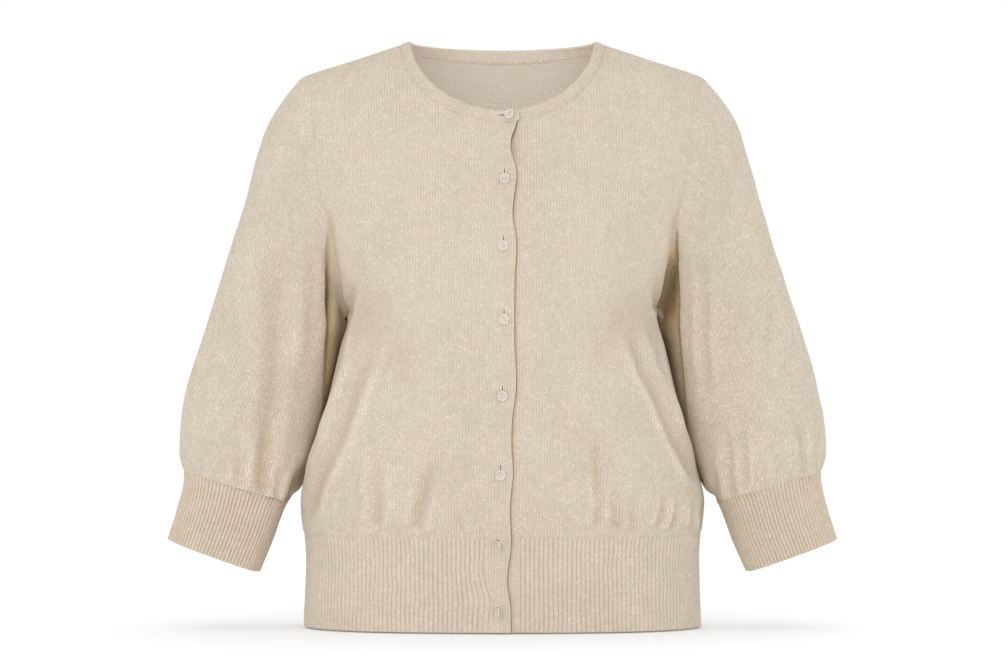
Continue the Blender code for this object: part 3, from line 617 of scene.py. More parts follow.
    def bend(self, plain: Grid) -> Grid:
        """Tell how far the cloth stands off the plain form, outwards.

        It sinks by the folds under the arms and by the creases of its own side, which fade
        towards the side seams and into the ribbed hem, and is a little uneven all over.

        Args:
            plain: Points of the plain form.

        Returns:
            Distances, positive outwards.
        """
        x, y, z = (plain[..., k] for k in range(3))
        ahead = 0.5 - 0.5 * np.tanh((y + self.fold_fade) / self.fold_fade)
        arms = sunk_by(UNDERARM_FOLDS, np.abs(x), z) * ahead
        creases = sunk_by(FRONT_CREASES, x, z) * ease(-y / self.side_fade)
        creases = creases + sunk_by(BACK_CREASES, x, z) * ease(y / self.side_fade)
        creases = creases * ease((z + HEM_DROP - HEM_RIB + 0.008) / self.hem_fade)
        waves = unevenness(x + 0.8 * y, z - 0.3 * y, 11, self.wave, self.wave_height)
        return waves * ease(-(z + 0.02) / 0.05) - arms - creases

    def armhole_turn(self, share: Grid, back: Grid) -> tuple[Grid, Grid, Grid]:
        """Give points of the +X armhole seam and the direction in which the cloth turns in.

        The direction lies half way between the body's own and the one towards the middle of
        the armhole, so that body and sleeve meet in a mitre.

        Args:
            share: Shares of the seam's length from the shoulder tip.
            back: Whether each share is of the back armhole.

        Returns:
            Plain points, outward directions and the mitre's directions.
        """
        front_angle, front_z = self.armhole_at(share, False)
        back_angle, back_z = self.armhole_at(share, True)
        angle, z = np.where(back, back_angle, front_angle), np.where(back, back_z, front_z)
        plain, outward = self.surface(angle, z)
        whole = np.linspace(0, 1, 120)
        ring = [self.section(*self.armhole_at(whole, side)) for side in (True, False)]
        inwards = unit(np.concatenate(ring).mean(axis=0) - plain)
        return plain, outward, unit(inwards - outward)


def lap(x: Grid) -> Grid:
    """How far the right front stands outside the left one, across its width."""
    return LAP_LIFT * ease((x + PLACKET_SEAM + LAP_FADE) / LAP_FADE)


TORSO = TorsoForm()


# ---- making meshes


def grid_corners(rows: int, columns: int, width: int, wrap: bool) -> Grid:
    """Number the corners of a grid's quads, row by row.

    Args:
        rows: Rows of points.
        columns: Columns of quads.
        width: Points in a row.
        wrap: Whether the last column joins the first.

    Returns:
        Four corners a quad.
    """
    row, column = np.meshgrid(np.arange(rows - 1), np.arange(columns), indexing="ij")
    beside = (column + 1) % width if wrap else column + 1
    corners = (row * width + column, row * width + beside,
               (row + 1) * width + beside, (row + 1) * width + column)
    return np.stack(corners, axis=-1).reshape(-1, 4)


def enclosed(points: Grid, quads: Grid) -> float:
    """Signed volume of a closed quad mesh: a sixth of each triangle's triple product, summed."""
    a, b, c, d = (points[quads[:, k]] for k in range(4))
    return float((np.cross(a, b) * c).sum() + (np.cross(a, c) * d).sum()) / 6


def add_piece(name: str, mesh: Mesh, *finishes: "Finish") -> Piece:
    """Link a finished mesh as an object at the origin.

    Args:
        name: The piece's name.
        mesh: Its mesh.
        *finishes: Its finishes, in the order of the faces' material numbers.

    Returns:
        The piece.
    """
    for finish in finishes:
        mesh.materials.append(finish.material())
    piece = bpy.data.objects.new(name, mesh)
    bpy.context.scene.collection.objects.link(piece)
    return piece


@dataclass
class Wall:
    """A knitted wall between an outer and an inner grid of points, closed along its edges.

    The outer face is the plain surface moved out by bend and ridge. The inner face is the
    plain surface moved by bend, then in by the thickness. Near its ends each face turns in as
    the ends' kinds say.
    """

    name: str
    plain: Grid
    outward: Grid
    thickness: float
    across: Grid            # cloth coordinates, with one more column than the points on a tube
    along: Grid
    bend: Grid | float = 0.0
    ridge: Grid | float = 0.0
    inner_ridge: Grid | float = 0.0
    turn_in: Grid | None = None
    first_row: Edge = Edge.SEWN
    last_row: Edge = Edge.SEWN
    first_column: Edge = Edge.SEWN
    last_column: Edge = Edge.SEWN
    tube: bool = False

    def sinking(self, distance: Grid, edge: Edge) -> tuple[Grid, Grid]:
        """Tell how far the outer and the inner face sink at distances from an end.

        A sewn end sinks by a bell curve; an open one by a circle's arc of half the thickness.

        Args:
            distance: Distances from the end.
            edge: The end's kind.

        Returns:
            Sinking of the outer and of the inner face.
        """
        if edge is Edge.SEWN:
            return SEAM_GROOVE * bell(distance, SEAM_REACH), 0 * distance
        if edge is Edge.OPEN:
            half = self.thickness / 2
            short = np.clip(1 - distance / half, 0, 1)
            arc = EDGE_ROUND * half * (1 - np.sqrt(1 - short ** 2))
            return arc, arc
        return 0 * distance, 0 * distance

    def faces(self) -> tuple[Grid, Grid]:
        """Outer and inner points with the ends turned in."""
        up = run_length(self.plain, axis=0)
        ends = [(up, self.first_row), (up[-1:] - up, self.last_row)]
        if not self.tube:
            side = run_length(self.plain, axis=1)
            ends += [(side, self.first_column), (side[:, -1:] - side, self.last_column)]
        sinks = [self.sinking(distance, edge) for distance, edge in ends]
        outer_sink = np.max([sink[0] for sink in sinks], axis=0)
        inner_sink = np.max([sink[1] for sink in sinks], axis=0)
        turn_in = -self.outward if self.turn_in is None else self.turn_in
        bent = self.plain + self.outward * np.broadcast_to(self.bend, up.shape)[..., None]
        lift = np.broadcast_to(self.ridge, up.shape)[..., None]
        deep = self.thickness - inner_sink - np.broadcast_to(self.inner_ridge, up.shape)
        outer = bent + self.outward * lift + turn_in * outer_sink[..., None]
        return outer, bent + turn_in * deep[..., None]

    def build(self, face: "KnitFinish", reverse: "KnitFinish", flecks: Grid | float,
              shade: Grid | float = 0.0) -> Piece:
        """Make the wall's mesh and dress both faces.

        Args:
            face: Finish of the outer face.
            reverse: Finish of the inner face.
            flecks: How thick the metal yarn shows at each point, about 1 at its thickest.
            shade: Painted shade at each point: 1 deep in a fold, 3 in a gap, below 0 painted light
                on a crest.

        Returns:
            The piece.
        """
        outer, inner = self.faces()
        rows, columns = outer.shape[:2]
        count = rows * columns
        spans = columns if self.tube else columns - 1
        corners = grid_corners(rows, spans, columns, self.tube)
        cloth = grid_corners(rows, spans, self.across.shape[1], False)
        sides = np.concatenate([corners[:, [k, (k + 1) % 4]] for k in range(4)])
        cloth_sides = np.concatenate([cloth[:, [k, (k + 1) % 4]] for k in range(4)])
        _, first, uses = np.unique(np.sort(sides, axis=1), axis=0, return_index=True,
                                   return_counts=True)
        rim, rim_cloth = sides[first[uses == 1]], cloth_sides[first[uses == 1]]
        rim = np.stack([rim[:, 1], rim[:, 0], rim[:, 0] + count, rim[:, 1] + count], axis=-1)
        points = np.concatenate([outer.reshape(-1, 3), inner.reshape(-1, 3)])
        quads = np.concatenate([corners, corners[:, ::-1] + count, rim])
        cloth = np.concatenate([cloth, cloth[:, ::-1], rim_cloth[:, [1, 0, 0, 1]]])
        if enclosed(points, quads) < 0:
            quads, cloth = quads[:, ::-1], cloth[:, ::-1]
        mesh = bpy.data.meshes.new(self.name)
        mesh.from_pydata(points.tolist(), [], quads.tolist())
        places = np.stack([self.across, self.along], axis=-1).reshape(-1, 2)[cloth.ravel()]
        mesh.uv_layers.new(name="Cloth").data.foreach_set("uv", places.ravel())
        for title, values in (("flecks", flecks), ("shade", shade)):
            both = np.tile(np.broadcast_to(values, (rows, columns)).ravel(), 2)
            mesh.attributes.new(title, "FLOAT", "POINT").data.foreach_set("value", both)
        piece = add_piece(self.name, mesh, face, reverse)
        inside = (np.arange(len(quads)) // len(corners) == 1).astype(np.int32)
        mesh.polygons.foreach_set("material_index", inside)
        mesh.shade_smooth()
        mesh.set_sharp_from_angle(angle=radians(62))
        return piece


def tube_mesh(name: str, path: Grid, side: Grid, radius: Grid, sides: int = 8,
              loop: bool = False) -> Mesh:
    """Carry a round profile along a path.

    Each ring lies across the path: the radius times the cosine and sine of even angles, in
    the plane of the given side direction and the direction square to it and to the path.

    Args:
        name: The mesh's name.
        path: Points that it follows.
        side: A direction roughly square to the path at each point.
        radius: Radius at each point.
        sides: Corners round the profile.
        loop: Whether the path closes on itself.

    Returns:
        The closed mesh.
    """
    turned = np.roll(path, -1, axis=0) - np.roll(path, 1, axis=0)
    run = unit(turned if loop else np.gradient(path, axis=0))
    other = unit(np.cross(run, side))
    side = np.cross(other, run)
    turn = circle(sides)[None, :, None]
    radius = np.broadcast_to(radius, len(path))[:, None, None]
    rings = path[:, None] + radius * (np.cos(turn) * side[:, None] + np.sin(turn) * other[:, None])
    rows = len(path)
    quads = grid_corners(rows, sides, sides, True)
    if loop:
        last = np.arange(sides) + (rows - 1) * sides
        beside = (np.arange(sides) + 1) % sides
        closing = np.stack([last, beside + (rows - 1) * sides, beside, np.arange(sides)], axis=-1)
        quads = np.concatenate([quads, closing])
    faces = quads.tolist()
    if not loop:
        faces += [list(range(sides))[::-1], list(range((rows - 1) * sides, rows * sides))]
    mesh = bpy.data.meshes.new(name)
    mesh.from_pydata(rings.reshape(-1, 3).tolist(), [], faces)
    mesh.shade_smooth()
    return mesh


def prism(low: Grid, high: Grid) -> tuple[Grid, list[list[int]]]:
    """Stand a prism between two rings of points.

    Args:
        low: One ring.
        high: The other, point for point.

    Returns:
        Its points, and its faces turned outwards.
    """
    points, ring = np.concatenate([low, high]), np.arange(len(low))
    beside = (ring + 1) % len(low)
    walls = joined(ring, beside, beside + len(low), ring + len(low))
    caps = [ring[::-1].tolist(), (ring + len(low)).tolist()]
    if enclosed(points, walls) < 0:
        return points, walls[:, ::-1].tolist() + [cap[::-1] for cap in caps]
    return points, walls.tolist() + caps


def cut_away(piece: Piece, prisms: list[tuple[Grid, list[list[int]]]]) -> None:
    """Cut prisms out of a piece's mesh, and leave no modifier behind.

    Args:
        piece: The piece.
        prisms: Points and faces of each prism.
    """
    points, faces = [], []
    for corners, sides in prisms:
        faces += [[corner + len(points) for corner in side] for side in sides]
        points += corners.tolist()
    mesh = bpy.data.meshes.new("cutter")
    mesh.from_pydata(points, [], faces)
    cutter = add_piece("cutter", mesh)
    modifier = piece.modifiers.new("cut", "BOOLEAN")
    modifier.operation = "DIFFERENCE"
    modifier.object = cutter
    view = bpy.context.evaluated_depsgraph_get()
    done = bpy.data.meshes.new_from_object(piece.evaluated_get(view))
    piece.modifiers.clear()
    piece.data = done
    bpy.data.objects.remove(cutter, do_unlink=True)


# ---- shader arithmetic


class Signal:
    """A shader value that takes part in Python arithmetic by adding Math nodes."""

    def __init__(self, shop: "Shop", socket: bpy.types.NodeSocket) -> None:
        """Keep the socket and the shop that it belongs to."""
        self.shop = shop
        self.socket = socket

    def __add__(self, other: "Signal | float") -> "Signal":
        """Sum."""
        return self.shop.math("ADD", self, other)

    __radd__ = __add__

    def __mul__(self, other: "Signal | float") -> "Signal":
        """Product."""
        return self.shop.math("MULTIPLY", self, other)

    __rmul__ = __mul__

    def __sub__(self, other: "Signal | float") -> "Signal":
        """Difference."""
        return self.shop.math("SUBTRACT", self, other)

    def __rsub__(self, other: float) -> "Signal":
        """Difference from a number."""
        return self.shop.math("SUBTRACT", other, self)

    def __truediv__(self, other: "Signal | float") -> "Signal":
        """Quotient."""
        return self.shop.math("DIVIDE", self, other)

    def __pow__(self, other: float) -> "Signal":
        """Power."""
        return self.shop.math("POWER", self, other)

    def __abs__(self) -> "Signal":
        """Size without sign."""
        return self.shop.math("ABSOLUTE", self)

    def fraction(self) -> "Signal":
        """Part after the whole number."""
        return self.shop.math("FRACT", self)

    def cosine(self) -> "Signal":
        """Cosine of a share of a turn."""
        return self.shop.math("COSINE", self * (2 * pi))

    def above(self, low: float, high: float) -> "Signal":
        """Rise smoothly from 0 at low to 1 at high; low above high turns it round."""
        settings = {"interpolation_type": "SMOOTHSTEP"}
        inputs = {"Value": self, "From Min": low, "From Max": high}
        return self.shop.read("ShaderNodeMapRange", settings, inputs, "Result")


class Shop:
    """Builds the nodes of one material."""

    def __init__(self, name: str) -> None:
        """Make the material with its one surface shader."""
        self.material = bpy.data.materials.new(name)
        self.material.use_nodes = True
        self.tree = self.material.node_tree
        self.shader = self.tree.nodes["Principled BSDF"]

    def node(self, kind: str, settings: dict | None = None,
             inputs: dict | None = None) -> bpy.types.Node:
        """Make a node.

        Args:
            kind: The node's type.
            settings: Its settings, which are set first.
            inputs: Values or signals for its sockets, by name or number.

        Returns:
            The node.
        """
        made = self.tree.nodes.new(kind)
        for title, value in (settings or {}).items():
            setattr(made, title, value)
        for key, value in (inputs or {}).items():
            self.feed(made.inputs[key], value)
        return made

    def feed(self, socket: bpy.types.NodeSocket, value: Signal | float | tuple) -> None:
        """Link a signal to a socket, or set a plain value on it."""
        if isinstance(value, Signal):
            self.tree.links.new(value.socket, socket)
        else:
            socket.default_value = value

    def feed_shader(self, inputs: dict) -> None:
        """Link or set the surface shader's inputs."""
        for title, value in inputs.items():
            self.feed(self.shader.inputs[title], value)

    def read(self, kind: str, settings: dict | None, inputs: dict | None,
             output: str | int) -> Signal:
        """Make a node and return one of its outputs."""
        return Signal(self, self.node(kind, settings, inputs).outputs[output])

    def math(self, operation: str, *operands: Signal | float) -> Signal:
        """Work out one operation on values."""
        return self.read("ShaderNodeMath", {"operation": operation}, dict(enumerate(operands)), 0)

    def mix(self, a: Signal | tuple, b: Signal | tuple, factor: Signal | float,
            blend: str = "MIX") -> Signal:
        """Blend two colours.

        Args:
            a: The colour at factor 0.
            b: The colour at factor 1.
            factor: How far to go.
            blend: The kind of blend.

        Returns:
            The colour.
        """
        a, b = (value if isinstance(value, Signal) else (*value, 1.0) for value in (a, b))
        settings = {"data_type": "RGBA", "blend_type": blend, "clamp_result": False}
        return self.read("ShaderNodeMix", settings, {0: factor, 6: a, 7: b}, 2)

    def grey(self, value: Signal) -> Signal:
        """Turn a value into a colour."""
        return self.read("ShaderNodeCombineColor", None, {0: value, 1: value, 2: value}, 0)

    def attribute(self, title: str) -> Signal:
        """Read a value stored at the mesh's points."""
        settings = {"attribute_name": title, "attribute_type": "GEOMETRY"}
        return self.read("ShaderNodeAttribute", settings, None, "Fac")

    def cloth(self) -> tuple[Signal, Signal]:
        """Read the cloth coordinates, across and along, in metres."""
        place = self.read("ShaderNodeUVMap", {"uv_map": "Cloth"}, None, "UV")
        parts = self.node("ShaderNodeSeparateXYZ", None, {0: place})
        return Signal(self, parts.outputs[0]), Signal(self, parts.outputs[1])

    def vector(self, x: Signal | float, y: Signal | float) -> Signal:
        """Make a flat vector of two values."""
        return self.read("ShaderNodeCombineXYZ", None, {0: x, 1: y}, 0)

    def noise(self, place: Signal, scale: float, detail: float = 1.0) -> Signal:
        """Read soft noise about one half."""
        inputs = {"Vector": place, "Scale": scale, "Detail": detail}
        return self.read("ShaderNodeTexNoise", None, inputs, "Fac")

    def solid_place(self) -> Signal:
        """Read the object's own coordinates."""
        return self.read("ShaderNodeTexCoord", None, None, "Object")

    def finish(self, colour: Signal, roughness: Signal | float, metallic: Signal | float,
               height: Signal, relief: float) -> Material:
        """Feed the shader.

        Args:
            colour: Base colour.
            roughness: Roughness.
            metallic: Share of bare metal.
            height: Height of the fine relief, 0 to 1.
            relief: That relief's depth in metres.

        Returns:
            The material.
        """
        inputs = {"Height": height, "Distance": relief, "Strength": 1.0}
        normal = self.read("ShaderNodeBump", None, inputs, "Normal")
        self.feed_shader({"Base Color": colour, "Roughness": roughness, "Metallic": metallic,
                          "Normal": normal})
        return self.material


# Colours that paint light and shade into the cloth's colour by its stored shade
PAINTED_CREST_LIGHT: Colour = (1.07, 1.08, 1.10)     # painted light on the crests beside folds
PAINTED_FOLD_SHADE: Colour = (0.91, 0.865, 0.765)    # painted shade in folds, warmed where light has met cloth before
PAINTED_DEEP_SHADE: Colour = (1.00, 0.90, 0.71)      # more painted shade as well, in deep folds
PAINTED_GAP_SHADE: Colour = (0.31, 0.28, 0.225)      # painted shade as well, in gaps that hardly any light reaches


@dataclass(frozen=True)
class Finish:
    """A finish, whose material is made the first time it is asked for."""

    name: str

    def material(self) -> Material:
        """Give the material."""
        return bpy.data.materials.get(self.name) or self.mixed(Shop(self.name))

    def mixed(self, shop: Shop) -> Material:
        """Mix the finish in a new shop."""
        raise NotImplementedError


@dataclass(frozen=True)
class KnitFinish(Finish):
    """Mottled yarn with a metal thread run along it, knitted in one of the structures."""

    stitch: Stitch
    pale: Colour
    dark: Colour
    column: float           # width of a column of loops
    groove: float           # how much painted shade darkens the grooves between loops
    mottle: float           # how much the yarn's tone varies
    glint: float            # strength of the metal thread's glints, painted into the colour
    row: float = 0.0021     # height of a row of loops
    relief: float = 0.0006  # depth of the fine relief
    spark: Colour = (0.96, 0.91, 0.81)
    gold: Colour = (0.86, 0.74, 0.52)

    def loops(self, shop: Shop, across: Signal, along: Signal) -> Signal:
        """Work out the height of the loops.

        Face loops are two slanted arms on each side of a column: one less a power of the
        distance from the column's middle, with a shallow dip there, times a cosine whose phase
        climbs towards the sides. Reverse loops are rows: a cosine up the cloth with a wave.

        Args:
            shop: The material's shop.
            across: Cloth coordinate across the columns.
            along: Cloth coordinate up them.

        Returns:
            Heights from 0 to 1.
        """
        columns, rows = across / self.column, along / self.row
        if self.stitch is Stitch.REVERSE:
            wave = columns.cosine() * 0.16
            return (rows + wave).cosine() * 0.38 + (columns * 2).cosine() * 0.12 + 0.5
        aside = abs(columns.fraction() - 0.5) * 2
        arms = 1 - aside ** 3
        middle = 1 - 0.30 * (1 - aside) ** 4
        slant = (rows - aside * 0.6).cosine() * 0.22 + 0.78
        return arms * middle * slant

    def mixed(self, shop: Shop) -> Material:
        """Mix yarn, stitches, glints, and the painted light and shade of folds.

        Args:
            shop: The material's shop.

        Returns:
            The material.
        """
        across, along = shop.cloth()
        place = shop.vector(across, along)
        # the columns of loops wander a little
        drift = shop.noise(place, 38.0) - 0.5
        strand = 0.0 if self.stitch is Stitch.RIB else 1.5
        loops = self.loops(shop, across + drift * (strand * self.column), along)
        # the yarn's tone changes within a loop, and more softly over the cloth
        yarn = shop.noise(shop.vector(across * 520, along * 230), 1.0, 2.0)
        cloud = shop.noise(shop.solid_place(), 17.0, 2.0)
        tone = (yarn - 0.5) * (2.2 * self.mottle) + (cloud - 0.5) * 0.5 + 0.5
        colour = shop.mix(self.dark, self.pale, tone)
        warm = shop.noise(shop.vector(across + 3.0, along + 7.0), 60.0, 1.0)
        colour = shop.mix(colour, (0.94, 1.0, 0.93), warm.above(0.45, 0.75) * 0.35, "MULTIPLY")
        # painted shade darkens the grooves between loops, more in some soft patches than in others
        shade_patches = shop.noise(shop.solid_place(), 110.0, 1.0) * 1.3 + 0.35
        sunk = (1 - loops) * (yarn * 2.3 - 0.15) * shade_patches * self.groove
        colour = shop.mix(colour, shop.grey(1 - sunk), 1.0, "MULTIPLY")
        # the metal thread shows as pale spots of its own colour, painted bright as glints on a
        # partly metallic finish
        spark, metal = self.sparks(shop, across, along)
        colour = shop.mix(colour, metal, spark)
        # painted shade darkens folds and gaps and painted light lifts crests, with an edge as rough
        # as the yarn
        shade = shop.attribute("shade")
        depth, dark = shade * (yarn * 1.4 + 0.3), shade * (yarn * 0.5 + 0.75)
        painted_shading = ((PAINTED_CREST_LIGHT, depth.above(0.0, -0.5)), (PAINTED_FOLD_SHADE, depth),
                 (PAINTED_DEEP_SHADE, depth.above(1.0, 2.0)), (PAINTED_GAP_SHADE, dark.above(2.0, 3.0)))
        for tint, factor in painted_shading:
            colour = shop.mix(colour, tint, factor, "MULTIPLY")
        height = loops * 0.75 + yarn * 0.25
        shop.feed_shader({"Sheen Weight": 0.06, "Sheen Roughness": 0.5,
                          "Specular IOR Level": 0.25})
        return shop.finish(colour, 0.86 - spark * 0.5, spark * 0.35, height, self.relief)

    def sparks(self, shop: Shop, across: Signal, along: Signal) -> tuple[Signal, Signal]:
        """Scatter the metal thread's glints, painted as pale spots in the colour.

        The cloth is cut into cells of about a loop's size. A cell glints where its random
        number passes a threshold set by the stored thickness of flecks.

        Args:
            shop: The material's shop.
            across: Cloth coordinate across.
            along: Cloth coordinate along.

        Returns:
            The glints' mask and their colour.
        """
        place = shop.vector(across * 480, along * 400)
        settings = {"voronoi_dimensions": "2D", "feature": "F1"}
        cells = shop.node("ShaderNodeTexVoronoi", settings, {"Vector": place, "Scale": 1.0})
        near = Signal(shop, cells.outputs["Distance"]).above(0.38, 0.16)
        random = Signal(shop, cells.outputs["Color"])
        chance = shop.node("ShaderNodeSeparateColor", None, {0: random})
        luck, kind = (Signal(shop, chance.outputs[k]) for k in (0, 1))
        patch = shop.noise(shop.solid_place(), 30.0, 1.0)
        share = shop.attribute("flecks") * (patch * 2.2 - 0.1) * 0.40
        lit = (luck + share).above(0.97, 1.03)
        metal = shop.mix(self.spark, self.gold, kind.above(0.72, 0.80))
        return near * lit * ((kind * 0.6 + 0.4) * self.glint), metal


@dataclass(frozen=True)
class PearlFinish(Finish):
    """Milky shell with a faint pink and green play of colour under a clear skin."""

    name: str = "pearl_shell"
    milk: Colour = (0.705, 0.637, 0.548)
    rose: Colour = (0.605, 0.533, 0.470)
    mint: Colour = (0.575, 0.575, 0.504)
    dish: Colour = (0.86, 0.85, 0.84)       # painted shade of the hollow dish, with the greyer tone of its thin middle

    def mixed(self, shop: Shop) -> Material:
        """Mix cloudy bands of the three colours, with painted shade in the dish.

        Args:
            shop: The material's shop.

        Returns:
            The material.
        """
        place = shop.solid_place()
        cloud = shop.noise(place, 260.0, 2.0)
        bands = shop.noise(place, 700.0, 3.0)
        colour = shop.mix(self.milk, self.rose, cloud.above(0.45, 0.65) * 0.7)
        colour = shop.mix(colour, self.mint, bands.above(0.50, 0.70) * 0.5)
        colour = shop.mix(colour, self.dish, shop.attribute("shade"), "MULTIPLY")
        shop.feed_shader({"Coat Weight": 0.3, "Coat Roughness": 0.08, "Subsurface Weight": 0.15,
                          "Subsurface Radius": (0.002, 0.0018, 0.0015)})
        return shop.finish(colour, bands * 0.2 + 0.15, 0.0, bands, 0.00004)


@dataclass(frozen=True)
class ThreadFinish(Finish):
    """Twisted sewing thread."""

    pale: Colour
    dark: Colour

    def mixed(self, shop: Shop) -> Material:
        """Mix the two colours by a fine noise.

        Args:
            shop: The material's shop.

        Returns:
            The material.
        """
        twist = shop.noise(shop.solid_place(), 1500.0, 1.0)
        colour = shop.mix(self.dark, self.pale, twist.above(0.3, 0.7))
        return shop.finish(colour, twist * 0.2 + 0.55, 0.0, twist, 0.0001)


@dataclass(frozen=True)
class FloorFinish(Finish):
    """Pale studio floor."""

    name: str = "studio_floor"
    pale: Colour = (0.885, 0.900, 0.925)
    dark: Colour = (0.880, 0.895, 0.920)
    glow: float = 0.12      # light that it gives off itself, which keeps shadows pale

    def mixed(self, shop: Shop) -> Material:
        """Mix the two colours by a soft noise, and add the glow.

        Args:
            shop: The material's shop.

        Returns:
            The material.
        """
        grain = shop.noise(shop.solid_place(), 40.0, 2.0)
        colour = shop.mix(self.pale, self.dark, grain)
        shop.feed_shader({"Emission Color": (1.0, 1.0, 1.0, 1.0), "Emission Strength": self.glow})
        return shop.finish(colour, 0.7, 0.0, grain, 0.00002)


JERSEY = KnitFinish(
    "jersey_face", Stitch.FACE, pale=(0.762, 0.660, 0.537), dark=(0.613, 0.519, 0.412),
    column=0.0028, groove=0.24, mottle=1.20, glint=0.74)
# Its colours are lighter than the face's: painted light for the inside, which little light reaches
JERSEY_REVERSE = KnitFinish(
    "jersey_reverse", Stitch.REVERSE, pale=(0.769, 0.688, 0.592), dark=(0.702, 0.621, 0.529),
    column=0.0028, groove=0.07, mottle=0.60, glint=0.12, relief=0.0005)
RIB = KnitFinish(
    "rib_face", Stitch.RIB, pale=(0.728, 0.631, 0.516), dark=(0.586, 0.494, 0.393),
    column=HEM_PITCH, groove=0.20, mottle=1.05, glint=0.60)
CUFF_RIB = KnitFinish(
    "cuff_face", Stitch.RIB, pale=(0.753, 0.636, 0.508), dark=(0.602, 0.496, 0.381),
    column=CUFF_PITCH, groove=0.25, mottle=1.10, glint=0.60)
PEARL = PearlFinish()
SEWING = ThreadFinish("sewing_thread", (0.86, 0.80, 0.70), (0.62, 0.54, 0.44))
LINKING = ThreadFinish("linking_thread", (0.88, 0.80, 0.70), (0.56, 0.47, 0.38))


# ---- the body's pieces


class Side(Enum):
    """The wearer's sides. Pieces are worked out at +X and carried to theirs."""

    LEFT = 1
    RIGHT = -1

    @property
    def word(self) -> str:
        """Name in lower case."""
        return self.name.lower()

    def carry(self, points: Grid) -> Grid:
        """Points or directions worked out at +X, on this side."""
        return points if self is Side.LEFT else mirrored(points)


@dataclass(frozen=True)
class Cut:
    """The flat cut of a piece of cloth: its width, length and area, and how it is held."""

    width: float
    length: float
    area: float
    hold: Hold = Hold.HUNG


def hand_over(piece: Piece, nodes: tuple[str, ...] = (),
              cut: Cut | None = None) -> Piece:
    """Place a finished piece in the model.

    Args:
        piece: The piece.
        nodes: The solids that it stands for.
        cut: Its flat cut, if it is a piece of cloth; not used.

    Returns:
        The piece.
    """
    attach(piece, "root")
    if nodes:
        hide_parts(*nodes)
    return piece


def fill_in(bottom: Grid, top: Grid, left: Grid, right: Grid, columns: Grid, rows: Grid,
            back: bool) -> tuple[Grid, Grid]:
    """Fill in angles and heights between four edges, as on the flat cloth.

    The edges' angles become level arcs. Each point lies between the bottom and the top, moved
    by how far the left and right edges bow off a straight line, which fades with the square of
    the share of the width. Level arcs then become angles again.

    Args:
        bottom: Angle from the centre and height along the bottom edge.
        top: The same along the top edge.
        left: The same up the left edge.
        right: The same up the right edge.
        columns: Shares of the width.
        rows: Shares of the height.
        back: Whether angles are measured from the centre back.

    Returns:
        Angles from the centre and heights.
    """
    def flat(edge: Grid) -> Grid:
        """Level arc and height of an edge."""
        return joined(TORSO.arc(edge[:, 0], edge[:, 1], back), edge[:, 1])

    last = right[:, 0]
    bottom, top, left, right = (flat(edge) for edge in (bottom, top, left, right))
    t, s = rows[:, None, None], columns[None, :, None]
    left_bow = left[:, None] - left[0] * (1 - t) - left[-1] * t
    right_bow = right[:, None] - right[0] * (1 - t) - right[-1] * t
    cloth = bottom * (1 - t) + top * t + left_bow * (1 - s) ** 2 + right_bow * s ** 2
    angle = TORSO.angle_along(cloth[..., 0], cloth[..., 1], back)
    angle[:, -1] = last
    return angle, cloth[..., 1]


def side_rows(back: bool, step: float) -> tuple[Grid, Grid, float]:
    """Cut a panel's +X edge into rows: up the side seam and the armhole to the shoulder tip.

    Args:
        back: Whether the panel is the back.
        step: The rows' spacing.

    Returns:
        Angles from the centre with heights, the rows' shares, and the edge's length.
    """
    armhole = TORSO.armhole(back)
    if back:
        armhole = armhole * [[-1.0, 1.0]] + [[pi, 0.0]]
    seam_z = np.linspace(HEM_SEAM, armhole[0, 1], 400)[:-1]
    edge = np.concatenate([joined(QUARTER, seam_z), armhole])
    line = TORSO.section(pi - edge[:, 0] if back else edge[:, 0], edge[:, 1])
    length = run_length(line)[-1]
    rows = spaced(length, step)
    return along_line(shares(line), edge, rows), rows, length


def armhole_mitre(rows: Grid, length: float, back: bool) -> tuple[Grid, Grid]:
    """Give the directions in which a panel's side edge turns in, and where they hold.

    Args:
        rows: Shares of the side edge from the hem.
        length: Length of the side edge.
        back: Whether the panel is the back.

    Returns:
        A direction at each row, and weights that are 1 along the armhole.
    """
    seam = TORSO.armhole(back)
    armhole = run_length(TORSO.section(seam[:, 0], seam[:, 1]))[-1]
    share = (1 - rows) * length / armhole
    _, _, direction = TORSO.armhole_turn(np.clip(share, 0, 1), np.full(share.shape, back))
    return direction, ease((1.03 - share) / 0.03)


MITRE_REACH = 0.005         # width over which the cloth turns into an armhole's mitre
BAND_FLECKS = 0.30          # how thick the metal yarn shows on plackets and neck band
CUFF_FLECKS = 0.50          # and on the cuffs
SLEEVE_FLECKS = 1.10        # and on the sleeves, about which it varies


def fleck_share(points: Grid) -> Grid:
    """Tell how thick the metal yarn shows: least on the chest, more to the sides and low down.

    Args:
        points: Points of the body.

    Returns:
        Shares, about 1 at the thickest.
    """
    x, z = np.abs(points[..., 0]), points[..., 2]
    patches = unevenness(points[..., 0], z, 29, 0.11, 0.07)
    return 0.34 + 0.40 * ease((x - 0.07) / 0.13) + 0.16 * ease((-0.20 - z) / 0.25) + patches


def fold_shade(bend: Grid) -> Grid:
    """Tell how much painted shade points get from folds: 1 deepest, down to -0.5 as painted light
    on a crest.
    """
    return ease((-bend - 0.0004) / 0.0070) - 0.5 * ease((bend - 0.0003) / 0.0028)


